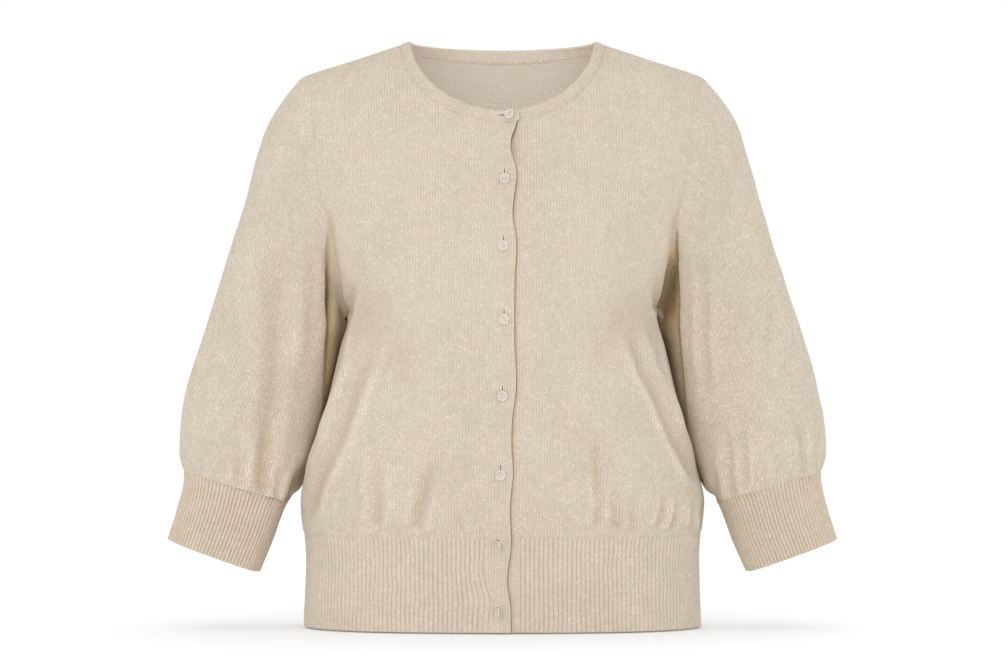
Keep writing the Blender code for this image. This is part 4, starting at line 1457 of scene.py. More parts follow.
@dataclass(frozen=True)
class FrontPanel:
    """A front from the shoulder down to the ribbed hem, without its placket."""

    side: Side
    step: float = 0.0028
    width: float = 0.245
    neck_share: float = 8 / 13      # share of its top edge that is neck seam
    cut: Cut = Cut(0.245, 0.500, 0.104)

    def places(self, columns: Grid) -> tuple[Grid, Grid, Grid, float]:
        """Lay the grid between the front's edges.

        Args:
            columns: Shares of the width.

        Returns:
            Angles, heights, the rows' shares and the side edge's length.
        """
        right, rows, length = side_rows(False, self.step)
        start = float(TORSO.neck_turn(PLACKET_SEAM, NECK_BAND))
        turns = TORSO.neck_turns(start, QUARTER, np.clip(columns / self.neck_share, 0, 1))
        neck = joined(*TORSO.neckline(turns, NECK_BAND))
        out = np.clip((columns - self.neck_share) / (1 - self.neck_share), 0, 1)
        shoulder_z = neck[-1, 1] + (SHOULDER_TIP - neck[-1, 1]) * out
        shoulder = joined(QUARTER, shoulder_z)
        top = np.where((columns < self.neck_share)[:, None], neck, shoulder)
        edge_z = HEM_SEAM + (top[0, 1] - HEM_SEAM) * rows
        inner = joined(TORSO.angle_at(PLACKET_SEAM, edge_z), edge_z)
        bottom = joined(inner[0, 0] + (QUARTER - inner[0, 0]) * columns, HEM_SEAM)
        angle, z = fill_in(bottom, top, inner, right, columns, rows, back=False)
        return angle, z, rows, length

    def build(self) -> Piece:
        """Make the front and dress it."""
        columns = spaced(self.width, self.step)
        angle, z, rows, length = self.places(columns)
        plain, outward = TORSO.surface(angle, z)
        bend = TORSO.bend(self.side.carry(plain))
        lift = lap(-plain[..., 0]) if self.side is Side.RIGHT else 0.0
        direction, weight = armhole_mitre(rows, length, back=False)
        reach = run_length(plain, axis=1)
        near = (bell(reach[:, -1:] - reach, MITRE_REACH) * weight[:, None])[..., None]
        turn_in = unit(-outward * (1 - near) + direction[:, None] * near)
        node = f"front_{self.side.word}"
        wall = Wall(
            name=f"{node}_jersey", plain=self.side.carry(plain), outward=self.side.carry(outward),
            thickness=JERSEY_WALL, bend=bend + lift, turn_in=self.side.carry(turn_in),
            across=self.side.value * TORSO.arc(angle, z, back=False),
            along=run_length(plain, axis=0), first_column=Edge.FLUSH)
        piece = wall.build(JERSEY, JERSEY_REVERSE, fleck_share(plain), fold_shade(bend))
        return hand_over(piece, (node,), self.cut)


@dataclass(frozen=True)
class BackPanel:
    """The back, in one piece from the shoulders down to the ribbed hem."""

    step: float = 0.0032
    width: float = 0.46
    shoulder_share: float = 0.25    # share of its top edge that is each shoulder seam
    cut: Cut = Cut(0.470, 0.510, 0.220)

    def places(self, columns: Grid) -> tuple[Grid, Grid, Grid, float]:
        """Lay the grid between the back's edges.

        Args:
            columns: Shares of the width.

        Returns:
            Angles from the centre back, heights, the rows' shares and the side edge's length.
        """
        near, rows, length = side_rows(True, self.step)
        away = np.clip((0.5 - np.abs(columns - 0.5)) / self.shoulder_share, 0, 1)
        inside = np.clip((columns - self.shoulder_share) / (1 - 2 * self.shoulder_share), 0, 1)
        turns = TORSO.neck_turns(QUARTER, 3 * QUARTER, inside)
        neck_angle, neck_z = TORSO.neckline(turns, NECK_BAND)
        shoulder_z = SHOULDER_TIP + (neck_z[0] - SHOULDER_TIP) * away
        on_neck = (inside > 0) & (inside < 1)
        sign = np.where(columns < 0.5, 1.0, -1.0)
        top = joined(np.where(on_neck, pi - neck_angle, sign * QUARTER),
                     np.where(on_neck, neck_z, shoulder_z))
        bottom = joined(QUARTER * (1 - 2 * columns), HEM_SEAM)
        angle, z = fill_in(bottom, top, near, near * [[-1.0, 1.0]], columns, rows, back=True)
        angle[:, 0] = near[:, 0]
        return angle, z, rows, length

    def build(self) -> Piece:
        """Make the back and dress it."""
        columns = spaced(self.width, self.step)
        angle, z, rows, length = self.places(columns)
        plain, outward = TORSO.surface(pi - angle, z)
        bend = TORSO.bend(plain)
        direction, weight = armhole_mitre(rows, length, back=True)
        reach = run_length(plain, axis=1)
        near = (bell(reach, MITRE_REACH) * weight[:, None])[..., None]
        far = (bell(reach[:, -1:] - reach, MITRE_REACH) * weight[:, None])[..., None]
        turned = direction[:, None] * near + mirrored(direction)[:, None] * far
        turn_in = unit(-outward * (1 - near - far) + turned)
        wall = Wall(
            name="back_jersey", plain=plain, outward=outward, thickness=JERSEY_WALL,
            bend=bend, turn_in=turn_in, across=TORSO.arc(angle, z, back=True),
            along=run_length(plain, axis=0))
        piece = wall.build(JERSEY, JERSEY_REVERSE, fleck_share(plain), fold_shade(bend))
        return hand_over(piece, ("back",), self.cut)


RIB_COLUMNS = 8             # columns of the grid on each rib


def ribs(phase: Grid, height: Grid | float) -> Grid:
    """Give the ribs' surface below their tops: half circles side by side, one for each turn."""
    aside = 2 * (phase - np.floor(phase)) - 1
    return height * (np.sqrt(np.clip(1 - aside ** 2, 0, 1)) - 1)


def rib_shares(phase: Grid, along: Grid, from_edge: Grid, seed: int) -> Grid:
    """Vary the height of ribs, which flatten towards their open edge.

    Args:
        phase: Numbers of the ribs, with the share across each.
        along: Distances along them.
        from_edge: Distances from the open edge.
        seed: Chooses the variation.

    Returns:
        Shares of the full height.
    """
    uneven = 1 + unevenness(phase * 0.01, along, seed, 0.03, 0.10)
    return uneven * (0.65 + 0.35 * ease(from_edge / 0.004))


# How far the placket's seam in the hem wanders towards the centre front, at rising heights.
SEAM_WANDER_Z = np.array([-0.594, -0.586, -0.561, -0.545, -0.531, -0.516, -0.500])
SEAM_WANDER = np.array([0.0040, 0.0042, 0.0060, 0.0012, -0.0020, -0.0004, 0.0])


def placket_seam(z: Grid, side: Side) -> Grid:
    """Place a placket's seam.

    Args:
        z: Heights.
        side: Whose placket it is.

    Returns:
        Distances from the centre front.
    """
    if side is Side.LEFT:
        return np.full(np.shape(z), PLACKET_SEAM)
    return PLACKET_SEAM - np.where(z < -0.5, through(SEAM_WANDER_Z, SEAM_WANDER, z), 0.0)


@dataclass(frozen=True)
class HemRib:
    """The ribbed hem under one front or under the back."""

    side: Side | None               # None for the back
    ribs: int
    height: float = 0.00062
    step: float = 0.0045
    ease_off: float = 0.022         # width over which ribs bend round the placket
    wobble: float = 0.0005          # how far ribs wander sideways
    cut: Cut = Cut(0.235, 0.094, 0.022, Hold.STRETCHED)

    def front_places(self, columns: Grid, z: Grid) -> tuple[Grid, Grid]:
        """Lay a front's grid, its ribs bent round the placket's seam.

        Args:
            columns: Shares of the width.
            z: Heights.

        Returns:
            Angles and heights.
        """
        straight = TORSO.arc(TORSO.angle_at(PLACKET_SEAM, z), z, back=False)
        seam = TORSO.arc(TORSO.angle_at(placket_seam(z, self.side), z), z, back=False)
        whole = TORSO.quarter(z, back=False)
        arc = straight + (whole - straight) * columns
        arc = arc + (seam - straight) * np.exp(-(arc - straight) / self.ease_off)
        wobble = unevenness(arc, z + 0 * arc, 31 + self.side.value, 0.030, self.wobble)
        arc = arc + wobble * np.sin(pi * columns)
        return TORSO.angle_along(arc, z + 0 * arc, back=False), z + 0 * arc

    def build(self) -> Piece:
        """Make the hem piece and dress it."""
        rows = spaced(HEM_RIB, self.step)
        z = (rows * HEM_RIB - HEM_DROP)[:, None]
        columns = np.linspace(0, 1, self.ribs * RIB_COLUMNS + 1)[None]
        if self.side:
            angle, z = self.front_places(columns, z)
        else:
            z = z + 0 * columns
            arc = TORSO.quarter(z, back=True) * (1 - 2 * columns)
            angle = pi - TORSO.angle_along(arc, z, back=True)
        plain, outward = TORSO.surface(angle, z)
        carry = self.side.carry if self.side else np.array
        bend = TORSO.bend(carry(plain))
        lift = lap(-plain[..., 0]) if self.side is Side.RIGHT else 0.0
        seed = {Side.LEFT: 3, Side.RIGHT: 4, None: 5}[self.side]
        phase = columns * self.ribs + 0 * z
        height = self.height * rib_shares(phase, z, HEM_DROP + z, seed)
        if self.side:
            # a ridge, not a groove, runs beside the placket, and ribs flatten to the side seam
            phase = phase + 0.5
            height = height * (0.35 + 0.65 * ease((0.197 - plain[..., 0]) / 0.024))
        node = f"hem_front_{self.side.word}" if self.side else "hem_back"
        wall = Wall(
            name=f"{node}_rib", plain=carry(plain), outward=carry(outward),
            thickness=RIB_WALL, bend=bend + lift,
            ridge=ribs(phase, height), inner_ridge=-ribs(phase + 0.5, height * INNER_RIBS),
            across=phase * HEM_PITCH, along=run_length(plain, axis=0), first_row=Edge.OPEN,
            first_column=Edge.FLUSH if self.side else Edge.SEWN)
        piece = wall.build(RIB, RIB, fleck_share(plain) * 0.8, fold_shade(bend))
        return hand_over(piece, (node,), self.cut)


# ---- sleeves


class Ring(NamedTuple):
    """A ring of the sleeve: its outer and inner ends seen from the front, how far back the
    inner end lies, and its depth in front of and behind its middle line."""

    outer_x: float
    outer_z: float
    inner_x: float
    inner_z: float
    inner_y: float
    front: float
    back: float


class TuckPoint(NamedTuple):
    """How a sleeve's inner side is set back behind its front fold, at one height."""

    z: float
    x: float            # where the fold's edge is
    depth: float
    near: float         # painted shade of the cloth just behind the edge, 0 to 3
    far: float          # painted shade further in


@dataclass(frozen=True)
class InnerFold:
    """Where the front of a sleeve folds over its inner side, and how that side lies behind."""

    points: tuple[TuckPoint, ...]
    reach: float        # distance further in over which the set-back dies away
    rest: float         # the share of it that stays


# Creases of the sleeves by side, seen from the front; the last legs run into the cuff's seam.
SLEEVE_CREASES = {
    (Side.RIGHT, "front"): (
        Crease(((-0.2177, -0.15), (-0.2257, -0.26), (-0.2267, -0.311), (-0.2313, -0.355),
                (-0.2389, -0.4), (-0.2419, -0.45)), 0.0088, 0.0034, 0.5, 0.6, 0.0),
        Crease(((-0.233, -0.368), (-0.2395, -0.41), (-0.2425, -0.452)),
               0.0048, 0.003, 0.5, 0.6, 0.0),
        Crease(((-0.199, -0.42), (-0.207, -0.444), (-0.215, -0.466)), 0.0046, 0.005, 0.4, 0.6, 0.0),
        Crease(((-0.26, -0.395), (-0.265, -0.445)), 0.0044, 0.0026, 0.5, 0.7, 0.0),
        Crease(((-0.286, -0.405), (-0.284, -0.442)), 0.004, 0.0018, 0.45, 0.75, 0.0),
        Crease(((-0.2712, -0.24), (-0.2934, -0.314), (-0.3085, -0.37), (-0.312, -0.42)),
               0.006, 0.0018, 0.3, 0.4, 0.2),
        Crease(((-0.225, -0.426), (-0.228, -0.46)), 0.0038, 0.002, 0.45, 0.75, 0.0),
        Crease(((-0.19, -0.19), (-0.192, -0.29), (-0.195, -0.35)), 0.005, 0.0009, 0.4),
    ),
    (Side.LEFT, "front"): (
        Crease(((0.1995, -0.18), (0.2025, -0.31), (0.2086, -0.386)), 0.0046, 0.0018, 0.7),
        Crease(((0.2384, -0.366), (0.2435, -0.448)), 0.0042, 0.0024, 0.5, 0.6, 0.0),
        Crease(((0.2278, -0.39), (0.2298, -0.458)), 0.0056, 0.0028, 0.5, 0.6, 0.0),
        Crease(((0.2919, -0.366), (0.3035, -0.408), (0.3055, -0.436)),
               0.004, 0.0036, 0.6, 0.5, 0.0),
        Crease(((0.2775, -0.396), (0.2765, -0.443)), 0.0038, 0.0018, 0.45, 0.7, 0.0),
        Crease(((0.26, -0.404), (0.259, -0.448)), 0.0042, 0.0016, 0.4, 0.75, 0.0),
        Crease(((0.257, -0.2), (0.272, -0.31)), 0.012, 0.0013, 0.3),
        Crease(((0.3175, -0.385), (0.315, -0.432)), 0.0048, 0.0022, 0.35, 0.6, 0.0),
        Crease(((0.213, -0.424), (0.217, -0.465)), 0.004, 0.0026, 0.45, 0.65, 0.0),
    ),
}
SLEEVE_CREASES[Side.RIGHT, "back"] = mirror_creases(SLEEVE_CREASES[Side.LEFT, "front"], 0.004)
SLEEVE_CREASES[Side.LEFT, "back"] = mirror_creases(SLEEVE_CREASES[Side.RIGHT, "front"], 0.003)
SLEEVE_FOLDS = {
    Side.RIGHT: InnerFold((
        TuckPoint(-0.456, 0.2130, 0.000, 0.0, 0.0), TuckPoint(-0.434, 0.2030, 0.001, 0.2, 0.2),
        TuckPoint(-0.414, 0.1930, 0.001, 0.8, 0.8), TuckPoint(-0.385, 0.1862, 0.002, 1.3, 1.2),
        TuckPoint(-0.345, 0.1830, 0.004, 2.1, 1.5), TuckPoint(-0.310, 0.1805, 0.008, 2.5, 1.3),
        TuckPoint(-0.280, 0.1797, 0.011, 2.7, 1.1), TuckPoint(-0.250, 0.1790, 0.011, 2.6, 0.9),
        TuckPoint(-0.222, 0.1787, 0.008, 2.0, 0.5), TuckPoint(-0.198, 0.1765, 0.003, 0.8, 0.3),
        TuckPoint(-0.165, 0.1745, 0.000, 0.0, 0.0),
    ), reach=0.0075, rest=0.15),
    Side.LEFT: InnerFold((
        TuckPoint(-0.462, 0.2060, 0.000, 0.0, 0.0), TuckPoint(-0.443, 0.1995, 0.001, 0.2, 0.2),
        TuckPoint(-0.418, 0.1945, 0.001, 0.8, 0.8), TuckPoint(-0.393, 0.1905, 0.002, 1.2, 1.2),
        TuckPoint(-0.339, 0.1848, 0.005, 1.4, 1.2), TuckPoint(-0.300, 0.1812, 0.010, 1.3, 1.3),
        TuckPoint(-0.280, 0.1803, 0.013, 1.2, 2.3), TuckPoint(-0.262, 0.1795, 0.013, 1.6, 2.65),
        TuckPoint(-0.223, 0.1777, 0.012, 1.6, 2.5),
        TuckPoint(-0.200, 0.1762, 0.007, 1.0, 1.6), TuckPoint(-0.172, 0.1740, 0.000, 0.0, 0.0),
    ), reach=0.016, rest=0.50),
}


class SleeveForm:
    """The +X sleeve and cuff: rings about a line that leads down and out from the armhole."""

    rings = (
        Ring(0.2040, -0.0370, 0.1580, -0.2790, 0.000, 0.0740, 0.0740),
        Ring(0.2190, -0.0545, 0.1602, -0.2806, 0.003, 0.0715, 0.0720),
        Ring(0.2333, -0.0754, 0.1610, -0.2830, 0.008, 0.0685, 0.0695),
        Ring(0.2496, -0.1180, 0.1617, -0.2905, 0.019, 0.0640, 0.0640),
        Ring(0.2618, -0.1610, 0.1633, -0.3012, 0.027, 0.0610, 0.0590),
        Ring(0.2790, -0.2180, 0.1665, -0.3190, 0.032, 0.0590, 0.0550),
        Ring(0.2924, -0.2610, 0.1700, -0.3370, 0.034, 0.0575, 0.0520),
        Ring(0.3066, -0.3036, 0.1750, -0.3590, 0.035, 0.0560, 0.0500),
        Ring(0.3188, -0.3450, 0.1815, -0.3830, 0.035, 0.0550, 0.0490),
        Ring(0.3265, -0.3830, 0.1885, -0.4090, 0.033, 0.0540, 0.0490),
        Ring(0.3290, -0.4105, 0.1970, -0.4340, 0.029, 0.0530, 0.0490),
        Ring(0.3285, -0.4240, 0.2085, -0.4570, 0.022, 0.0500, 0.0470),
        Ring(0.3248, -0.4360, 0.2180, -0.4676, 0.014, 0.0460, 0.0440),
        Ring(0.3262, -0.4560, 0.2262, -0.4850, 0.012, 0.0430, 0.0420),
        Ring(0.3310, -0.4740, 0.2325, -0.5030, 0.010, 0.0410, 0.0405),
        Ring(0.3413, -0.5060, 0.2480, -0.5395, 0.006, 0.0385, 0.0385),
    )
    cuff_ring = 12          # the ring at which the cuff is sewn on
    roundness = 2.15
    fold_edge = 1.5         # added where the sleeve turns in towards the body
    head = 0.45             # share of the sleeve over which it takes up the armhole's shape

    def __init__(self) -> None:
        """Work out the rings' distances down the middle line."""
        self.columns = columns_of(self.rings)
        middle = joined(self.columns["outer_x"] + self.columns["inner_x"],
                        self.columns["outer_z"] + self.columns["inner_z"]) / 2
        self.stations = run_length(middle)
        self.seam = self.stations[self.cuff_ring]
        self.end = self.stations[-1]

    def loop(self, at: Grid, around: Grid) -> tuple[Grid, Grid]:
        """Give rings before they meet the armhole.

        Each ring is a superellipse between its outer and inner ends, deeper in front or
        behind, with a tighter corner where it turns in, and leans back towards its inner end.

        Args:
            at: Distances down the middle line.
            around: 0 on the outer side, a quarter turn in front, minus a quarter behind.

        Returns:
            Ring points, and the rings' middles.
        """
        at = np.asarray(at)[:, None]
        turn_in = np.clip(-np.sin(2 * around), 0, None) * (np.sin(around) > 0)
        exponent = 2 / (self.roundness + self.fold_edge * turn_in)
        reach = power(np.cos(around), exponent)[None]
        side = power(np.sin(around), exponent)[None]
        out_x, out_z, in_x, in_z, in_y, front, back = (
            through(self.stations, column, at) for column in self.columns.values())
        x = (out_x + in_x) / 2 + (out_x - in_x) / 2 * reach
        z = (out_z + in_z) / 2 + (out_z - in_z) / 2 * reach
        y = in_y / 2 * (1 - reach) - np.where(side > 0, front, back) * side
        return joined(x, y, z), joined(out_x + in_x, in_y, out_z + in_z) / 2

    def even_turns(self, at: float, count: int, crowd: float = 0.0) -> Grid:
        """Give turns from the inner side round the back and the front.

        Args:
            at: The ring along which they are even.
            count: How many.
            crowd: How much closer they lie where the front turns in.

        Returns:
            Turns.
        """
        fine = np.linspace(-pi, pi, 2400)
        line = self.loop(np.array([at]), fine)[0][0]
        weight = 1 + crowd * np.clip(-np.sin(2 * fine), 0, None) * (fine > 0)
        run = np.cumsum(np.diff(run_length(line), prepend=0.0) * weight)
        return np.interp(np.arange(count) / count, run / run[-1], fine)

    def points(self, at: Grid, around: Grid, side: Side) -> tuple[Grid, Grid]:
        """Give points with the armhole's own shape, as it is bent, fading out down the sleeve.

        Args:
            at: Distances down the middle line.
            around: Turns, as for loop.
            side: Whose armhole it is.

        Returns:
            Points at +X, and the direction in which the cloth turns in along the armhole.
        """
        rings, _ = self.loop(at, around)
        first, _ = self.loop(np.array([0.0]), around)
        seam, outward, direction = TORSO.armhole_turn(np.abs(around) / pi, around < 0)
        seam = seam + outward * TORSO.bend(side.carry(seam))[..., None]
        fade = ease(1 - np.asarray(at) / (self.head * self.seam))[:, None, None]
        return rings + (seam - first[0])[None] * fade, direction


SLEEVE = SleeveForm()


def tube_outward(points: Grid, middle: Grid) -> Grid:
    """Find outward directions on a tube's grid, from neighbours along and round it.

    Args:
        points: The tube's points.
        middle: The middles of its rings.

    Returns:
        Directions.
    """
    beside = np.roll(points, -1, axis=1) - np.roll(points, 1, axis=1)
    normal = unit(np.cross(beside, np.gradient(points, axis=0)))
    return normal * np.sign((normal * (points - middle)).sum())


def closed_up(values: Grid) -> Grid:
    """A tube's values with its first column repeated at the end."""
    return np.concatenate([values, values[:, :1]], axis=1)


@dataclass(frozen=True)
class SleevePiece:
    """A sleeve from the armhole to the cuff's seam."""

    side: Side
    wave: float = 0.07              # length and height of the cloth's gentle unevenness
    wave_height: float = 0.00055
    step: float = 0.0030
    columns: int = 190
    drop: float = 0.0036            # width over which cloth drops behind the front fold
    rolled: float = 0.0032          # width of the roll in front of it, which gets painted shade
    room: float = 0.034             # room for it in front of the sleeve's back
    underarm: float = -0.286        # height at which the sleeve bulges out below the armhole
    cut: Cut = Cut(0.400, 0.420, 0.130)

    def tuck(self, plain: Grid, around: Grid) -> tuple[Grid, Grid]:
        """Tell how far the inner side is set back behind the fold, never through the back.

        It drops straight behind the fold's edge and comes forward again further in.

        Args:
            plain: Points at +X.
            around: Their turns.

        Returns:
            Distances, and the painted shade of the cloth there, 0 to 3.
        """
        fold = SLEEVE_FOLDS[self.side]
        z, *columns = columns_of(fold.points).values()
        at = np.clip(plain[..., 2], z[0], z[-1])
        x, depth, near, far = (through(z, column, at) for column in columns)
        deep = np.clip(depth, 1e-6, None)
        inside = x - plain[..., 0]
        left = fold.rest + (1 - fold.rest) * bell(inside, fold.reach)
        room = np.tanh(self.room * np.clip(np.sin(around), 0, None) ** 0.6 / deep)
        sewn = ease(run_length(plain, axis=0) / 0.005)
        # painted shade on the roll in front of the fold's edge and on the cloth behind it
        edge = 0.8 * bell(np.clip(inside, None, 0), self.rolled) * ease(deep / 0.008)
        behind = (near + (far - near) * ease((inside - 0.0035) / 0.005)) * ease(inside / 0.0015)
        shade = np.maximum(edge, behind) * ease(np.sin(around) / 0.25)
        return deep * ease(inside / self.drop) * left * room * sewn, shade

    def bend(self, plain: Grid, around: Grid, at: Grid) -> tuple[Grid, Grid]:
        """Tell how far the sleeve's cloth stands off its form.

        Args:
            plain: Points on the piece's own side.
            around: Their turns.
            at: Their rings' distances down the middle line.

        Returns:
            Distances outwards, and the same with a weaker valley for the painted shade.
        """
        x, y, z = (plain[..., k] for k in range(3))
        front = ease(0.5 + np.sin(around) * 1.6)[None]
        valley = sunk_by(SLEEVE_VALLEY, np.abs(x), z) * (0.5 + 0.5 * front)
        creases = sunk_by(SLEEVE_CREASES[self.side, "front"], x, z) * front
        creases = creases + sunk_by(SLEEVE_CREASES[self.side, "back"], x, z) * (1 - front)
        waves = unevenness(x + y, z - 0.4 * y, 17 + self.side.value, self.wave, self.wave_height)
        head = ease(at / 0.02)[:, None]
        inner = ease((-np.cos(around) - 0.45) / 0.30)
        under = 0.0035 * bell(z - self.underarm, 0.014) * inner * head
        return under + (waves - valley - creases) * head, (waves - 0.15 * valley - creases) * head

    def build(self) -> Piece:
        """Make the sleeve and dress it."""
        at = spaced(SLEEVE.seam, self.step) * SLEEVE.seam
        around = SLEEVE.even_turns(0.5 * SLEEVE.seam, self.columns, 1.6)
        plain, direction = SLEEVE.points(at, around, self.side)
        tuck, tucked_shade = self.tuck(plain, around)
        plain = plain + tuck[..., None] * np.array([0.3, 1.0, 0.0])
        outward = tube_outward(plain, plain.mean(axis=1, keepdims=True))
        near = bell(run_length(plain, axis=0), MITRE_REACH)[..., None]
        turn_in = unit(-outward * (1 - near) + direction[None] * near)
        plain, outward, turn_in = (self.side.carry(grid) for grid in (plain, outward, turn_in))
        bend, shade = self.bend(plain, around, at)
        girth = run_length(closed_up(plain), axis=1)
        across = girth - girth[:, self.columns // 2, None]
        wall = Wall(
            name=f"sleeve_{self.side.word}_jersey", plain=plain, outward=outward,
            thickness=JERSEY_WALL, bend=bend, turn_in=turn_in, across=across,
            along=closed_up(run_length(plain, axis=0)), tube=True)
        patches = unevenness(plain[..., 0], plain[..., 2], 41 + self.side.value, 0.10, 0.08)
        piece = wall.build(JERSEY, JERSEY_REVERSE, SLEEVE_FLECKS + patches,
                           fold_shade(shade) + tucked_shade)
        return hand_over(piece, (f"sleeve_{self.side.word}",), self.cut)


@dataclass(frozen=True)
class CuffPiece:
    """A ribbed cuff."""

    side: Side
    ribs: int = 80
    rib_columns: int = 6
    height: float = 0.00078
    step: float = 0.0045
    cut: Cut = Cut(0.260, 0.070, 0.018, Hold.STRETCHED)

    def build(self) -> Piece:
        """Make the cuff and dress it."""
        length = SLEEVE.end - SLEEVE.seam
        rows = spaced(length, self.step)
        at = SLEEVE.seam + rows * length
        count = self.ribs * self.rib_columns
        around = SLEEVE.even_turns((SLEEVE.seam + SLEEVE.end) / 2, count)
        plain, middle = SLEEVE.loop(at, around)
        outward = tube_outward(plain, middle)
        plain, outward = self.side.carry(plain), self.side.carry(outward)
        phase = np.arange(count + 1) / self.rib_columns + 0 * at[:, None]
        from_seam = rows[:, None] * length
        height = self.height * rib_shares(phase[:, :-1], from_seam, length - from_seam,
                                          23 + self.side.value)
        waves = unevenness(plain[..., 0] + plain[..., 1], plain[..., 2], 19, 0.06, 0.0004)
        waves = waves * ease(rows / 0.2)[:, None]
        along = closed_up(run_length(plain, axis=0))
        wall = Wall(
            name=f"cuff_{self.side.word}_rib", plain=plain, outward=outward,
            thickness=RIB_WALL, bend=waves, ridge=ribs(phase[:, :-1], height),
            inner_ridge=-ribs(phase[:, :-1] + 0.5, height * INNER_RIBS),
            across=phase * CUFF_PITCH, along=along, last_row=Edge.OPEN, tube=True)
        piece = wall.build(CUFF_RIB, CUFF_RIB, CUFF_FLECKS)
        return hand_over(piece, (f"cuff_{self.side.word}",), self.cut)


# ---- bands


class EdgePoint(NamedTuple):
    """A place on the buttonhole band's free edge: height, reach past the centre, and gape."""

    z: float
    reach: float
    gape: float


class ButtonPlace(NamedTuple):
    """A button's place and how far it is turned about its upright middle line, in degrees."""

    x: float
    z: float
    turn: float


BUTTONS = (
    ButtonPlace(0.0066, -0.0802, -30.0),
    ButtonPlace(0.0019, -0.1443, 0.0),
    ButtonPlace(0.0008, -0.2106, 0.0),
    ButtonPlace(0.0015, -0.2827, 0.0),
    ButtonPlace(0.0000, -0.3583, 0.0),
    ButtonPlace(-0.0020, -0.4370, 0.0),
    ButtonPlace(-0.0048, -0.5066, -68.0),
    ButtonPlace(-0.0053, -0.5740, -68.0),
)
EDGE_ON = 45.0              # past this turn a button stands in its buttonhole


class OverlapForm:
    """The outer face of whatever lies on top at the centre front."""

    edge = (
        EdgePoint(-0.594, 0.0082, 0.0000), EdgePoint(-0.568, 0.0078, 0.0000),
        EdgePoint(-0.543, 0.0045, 0.0006), EdgePoint(-0.505, 0.0087, 0.0000),
        EdgePoint(-0.474, 0.0072, 0.0004), EdgePoint(-0.432, 0.0103, 0.0000),
        EdgePoint(-0.410, 0.0090, 0.0004), EdgePoint(-0.379, 0.0099, 0.0004),
        EdgePoint(-0.358, 0.0128, 0.0000), EdgePoint(-0.300, 0.0118, 0.0000),
        EdgePoint(-0.240, 0.0122, 0.0004), EdgePoint(-0.209, 0.0137, 0.0000),
        EdgePoint(-0.180, 0.0100, 0.0008), EdgePoint(-0.155, 0.0125, 0.0004),
        EdgePoint(-0.143, 0.0140, 0.0000), EdgePoint(-0.132, 0.0125, 0.0010),
        EdgePoint(-0.116, 0.0083, 0.0040), EdgePoint(-0.104, 0.0090, 0.0036),
        EdgePoint(-0.094, 0.0125, 0.0012), EdgePoint(-0.086, 0.0150, 0.0000),
    )
    curl = 0.0007           # how far the free edge curls outwards, and over what width
    curl_reach = 0.0045
    dimple = 0.0006         # how far a button presses the band in
    dimple_reach = 0.0095

    def __init__(self) -> None:
        """Gather the edge's columns."""
        self.z, self.reaches, self.gapes = columns_of(self.edge).values()

    def reach(self, z: Grid) -> Grid:
        """How far the band's free edge reaches past the centre front."""
        return through(self.z, self.reaches, z)

    def gape(self, z: Grid) -> Grid:
        """How far the free edge gapes."""
        return through(self.z, self.gapes, np.minimum(z, self.z[-1]))

    def stand(self, x: Grid, z: Grid) -> Grid:
        """Give how far the upper layer stands outside the plain form.

        That is the lift of the lap, plus the gape that grows with the square of the share of
        the band's width, less a bell-shaped dimple at each button.

        Args:
            x: Sideways places.
            z: Heights.

        Returns:
            Distances outwards.
        """
        share = np.clip((x + PLACKET_SEAM) / (2 * PLACKET_SEAM), 0.0, None)
        gape = self.gape(z) * share ** 2 * ease((self.z[-1] - z) / 0.004)
        near = sum(bell(np.hypot(x - place.x, z - place.z), self.dimple_reach)
                   for place in BUTTONS)
        curl = self.curl * ease((x - self.reach(z)) / self.curl_reach + 1)
        return lap(x) + gape + curl - self.dimple * near

    def outer(self, x: Grid, z: Grid) -> tuple[Grid, Grid]:
        """Give points of the upper layer's outer face.

        Args:
            x: Sideways places.
            z: Heights.

        Returns:
            Points, and the form's outward directions.
        """
        angle = TORSO.angle_at(x, z)
        plain, outward = TORSO.surface(angle, z)
        return plain + outward * (self.stand(x, z) + TORSO.bend(plain))[..., None], outward

    def seat(self, place: ButtonPlace) -> tuple[Vector, Matrix]:
        """Find where a button's thread meets the upper layer.

        Args:
            place: The button's place.

        Returns:
            The point, and axes there with Z outwards.
        """
        point, outward = self.outer(np.array([place.x]), np.array([place.z]))
        normal = Vector(outward[0])
        level = Vector((0.0, 0.0, 1.0)).cross(normal).normalized()
        return Vector(point[0]), Matrix((level, normal.cross(level), normal)).transposed()


OVERLAP = OverlapForm()


def band_rows(x: Grid, rise: Grid) -> Grid:
    """Heights of a band's rows, from the hem up to the neck seam, which curves."""
    top = TORSO.neckline(TORSO.neck_turn(x, NECK_BAND), NECK_BAND)[1]
    return (top + HEM_DROP) * rise - HEM_DROP


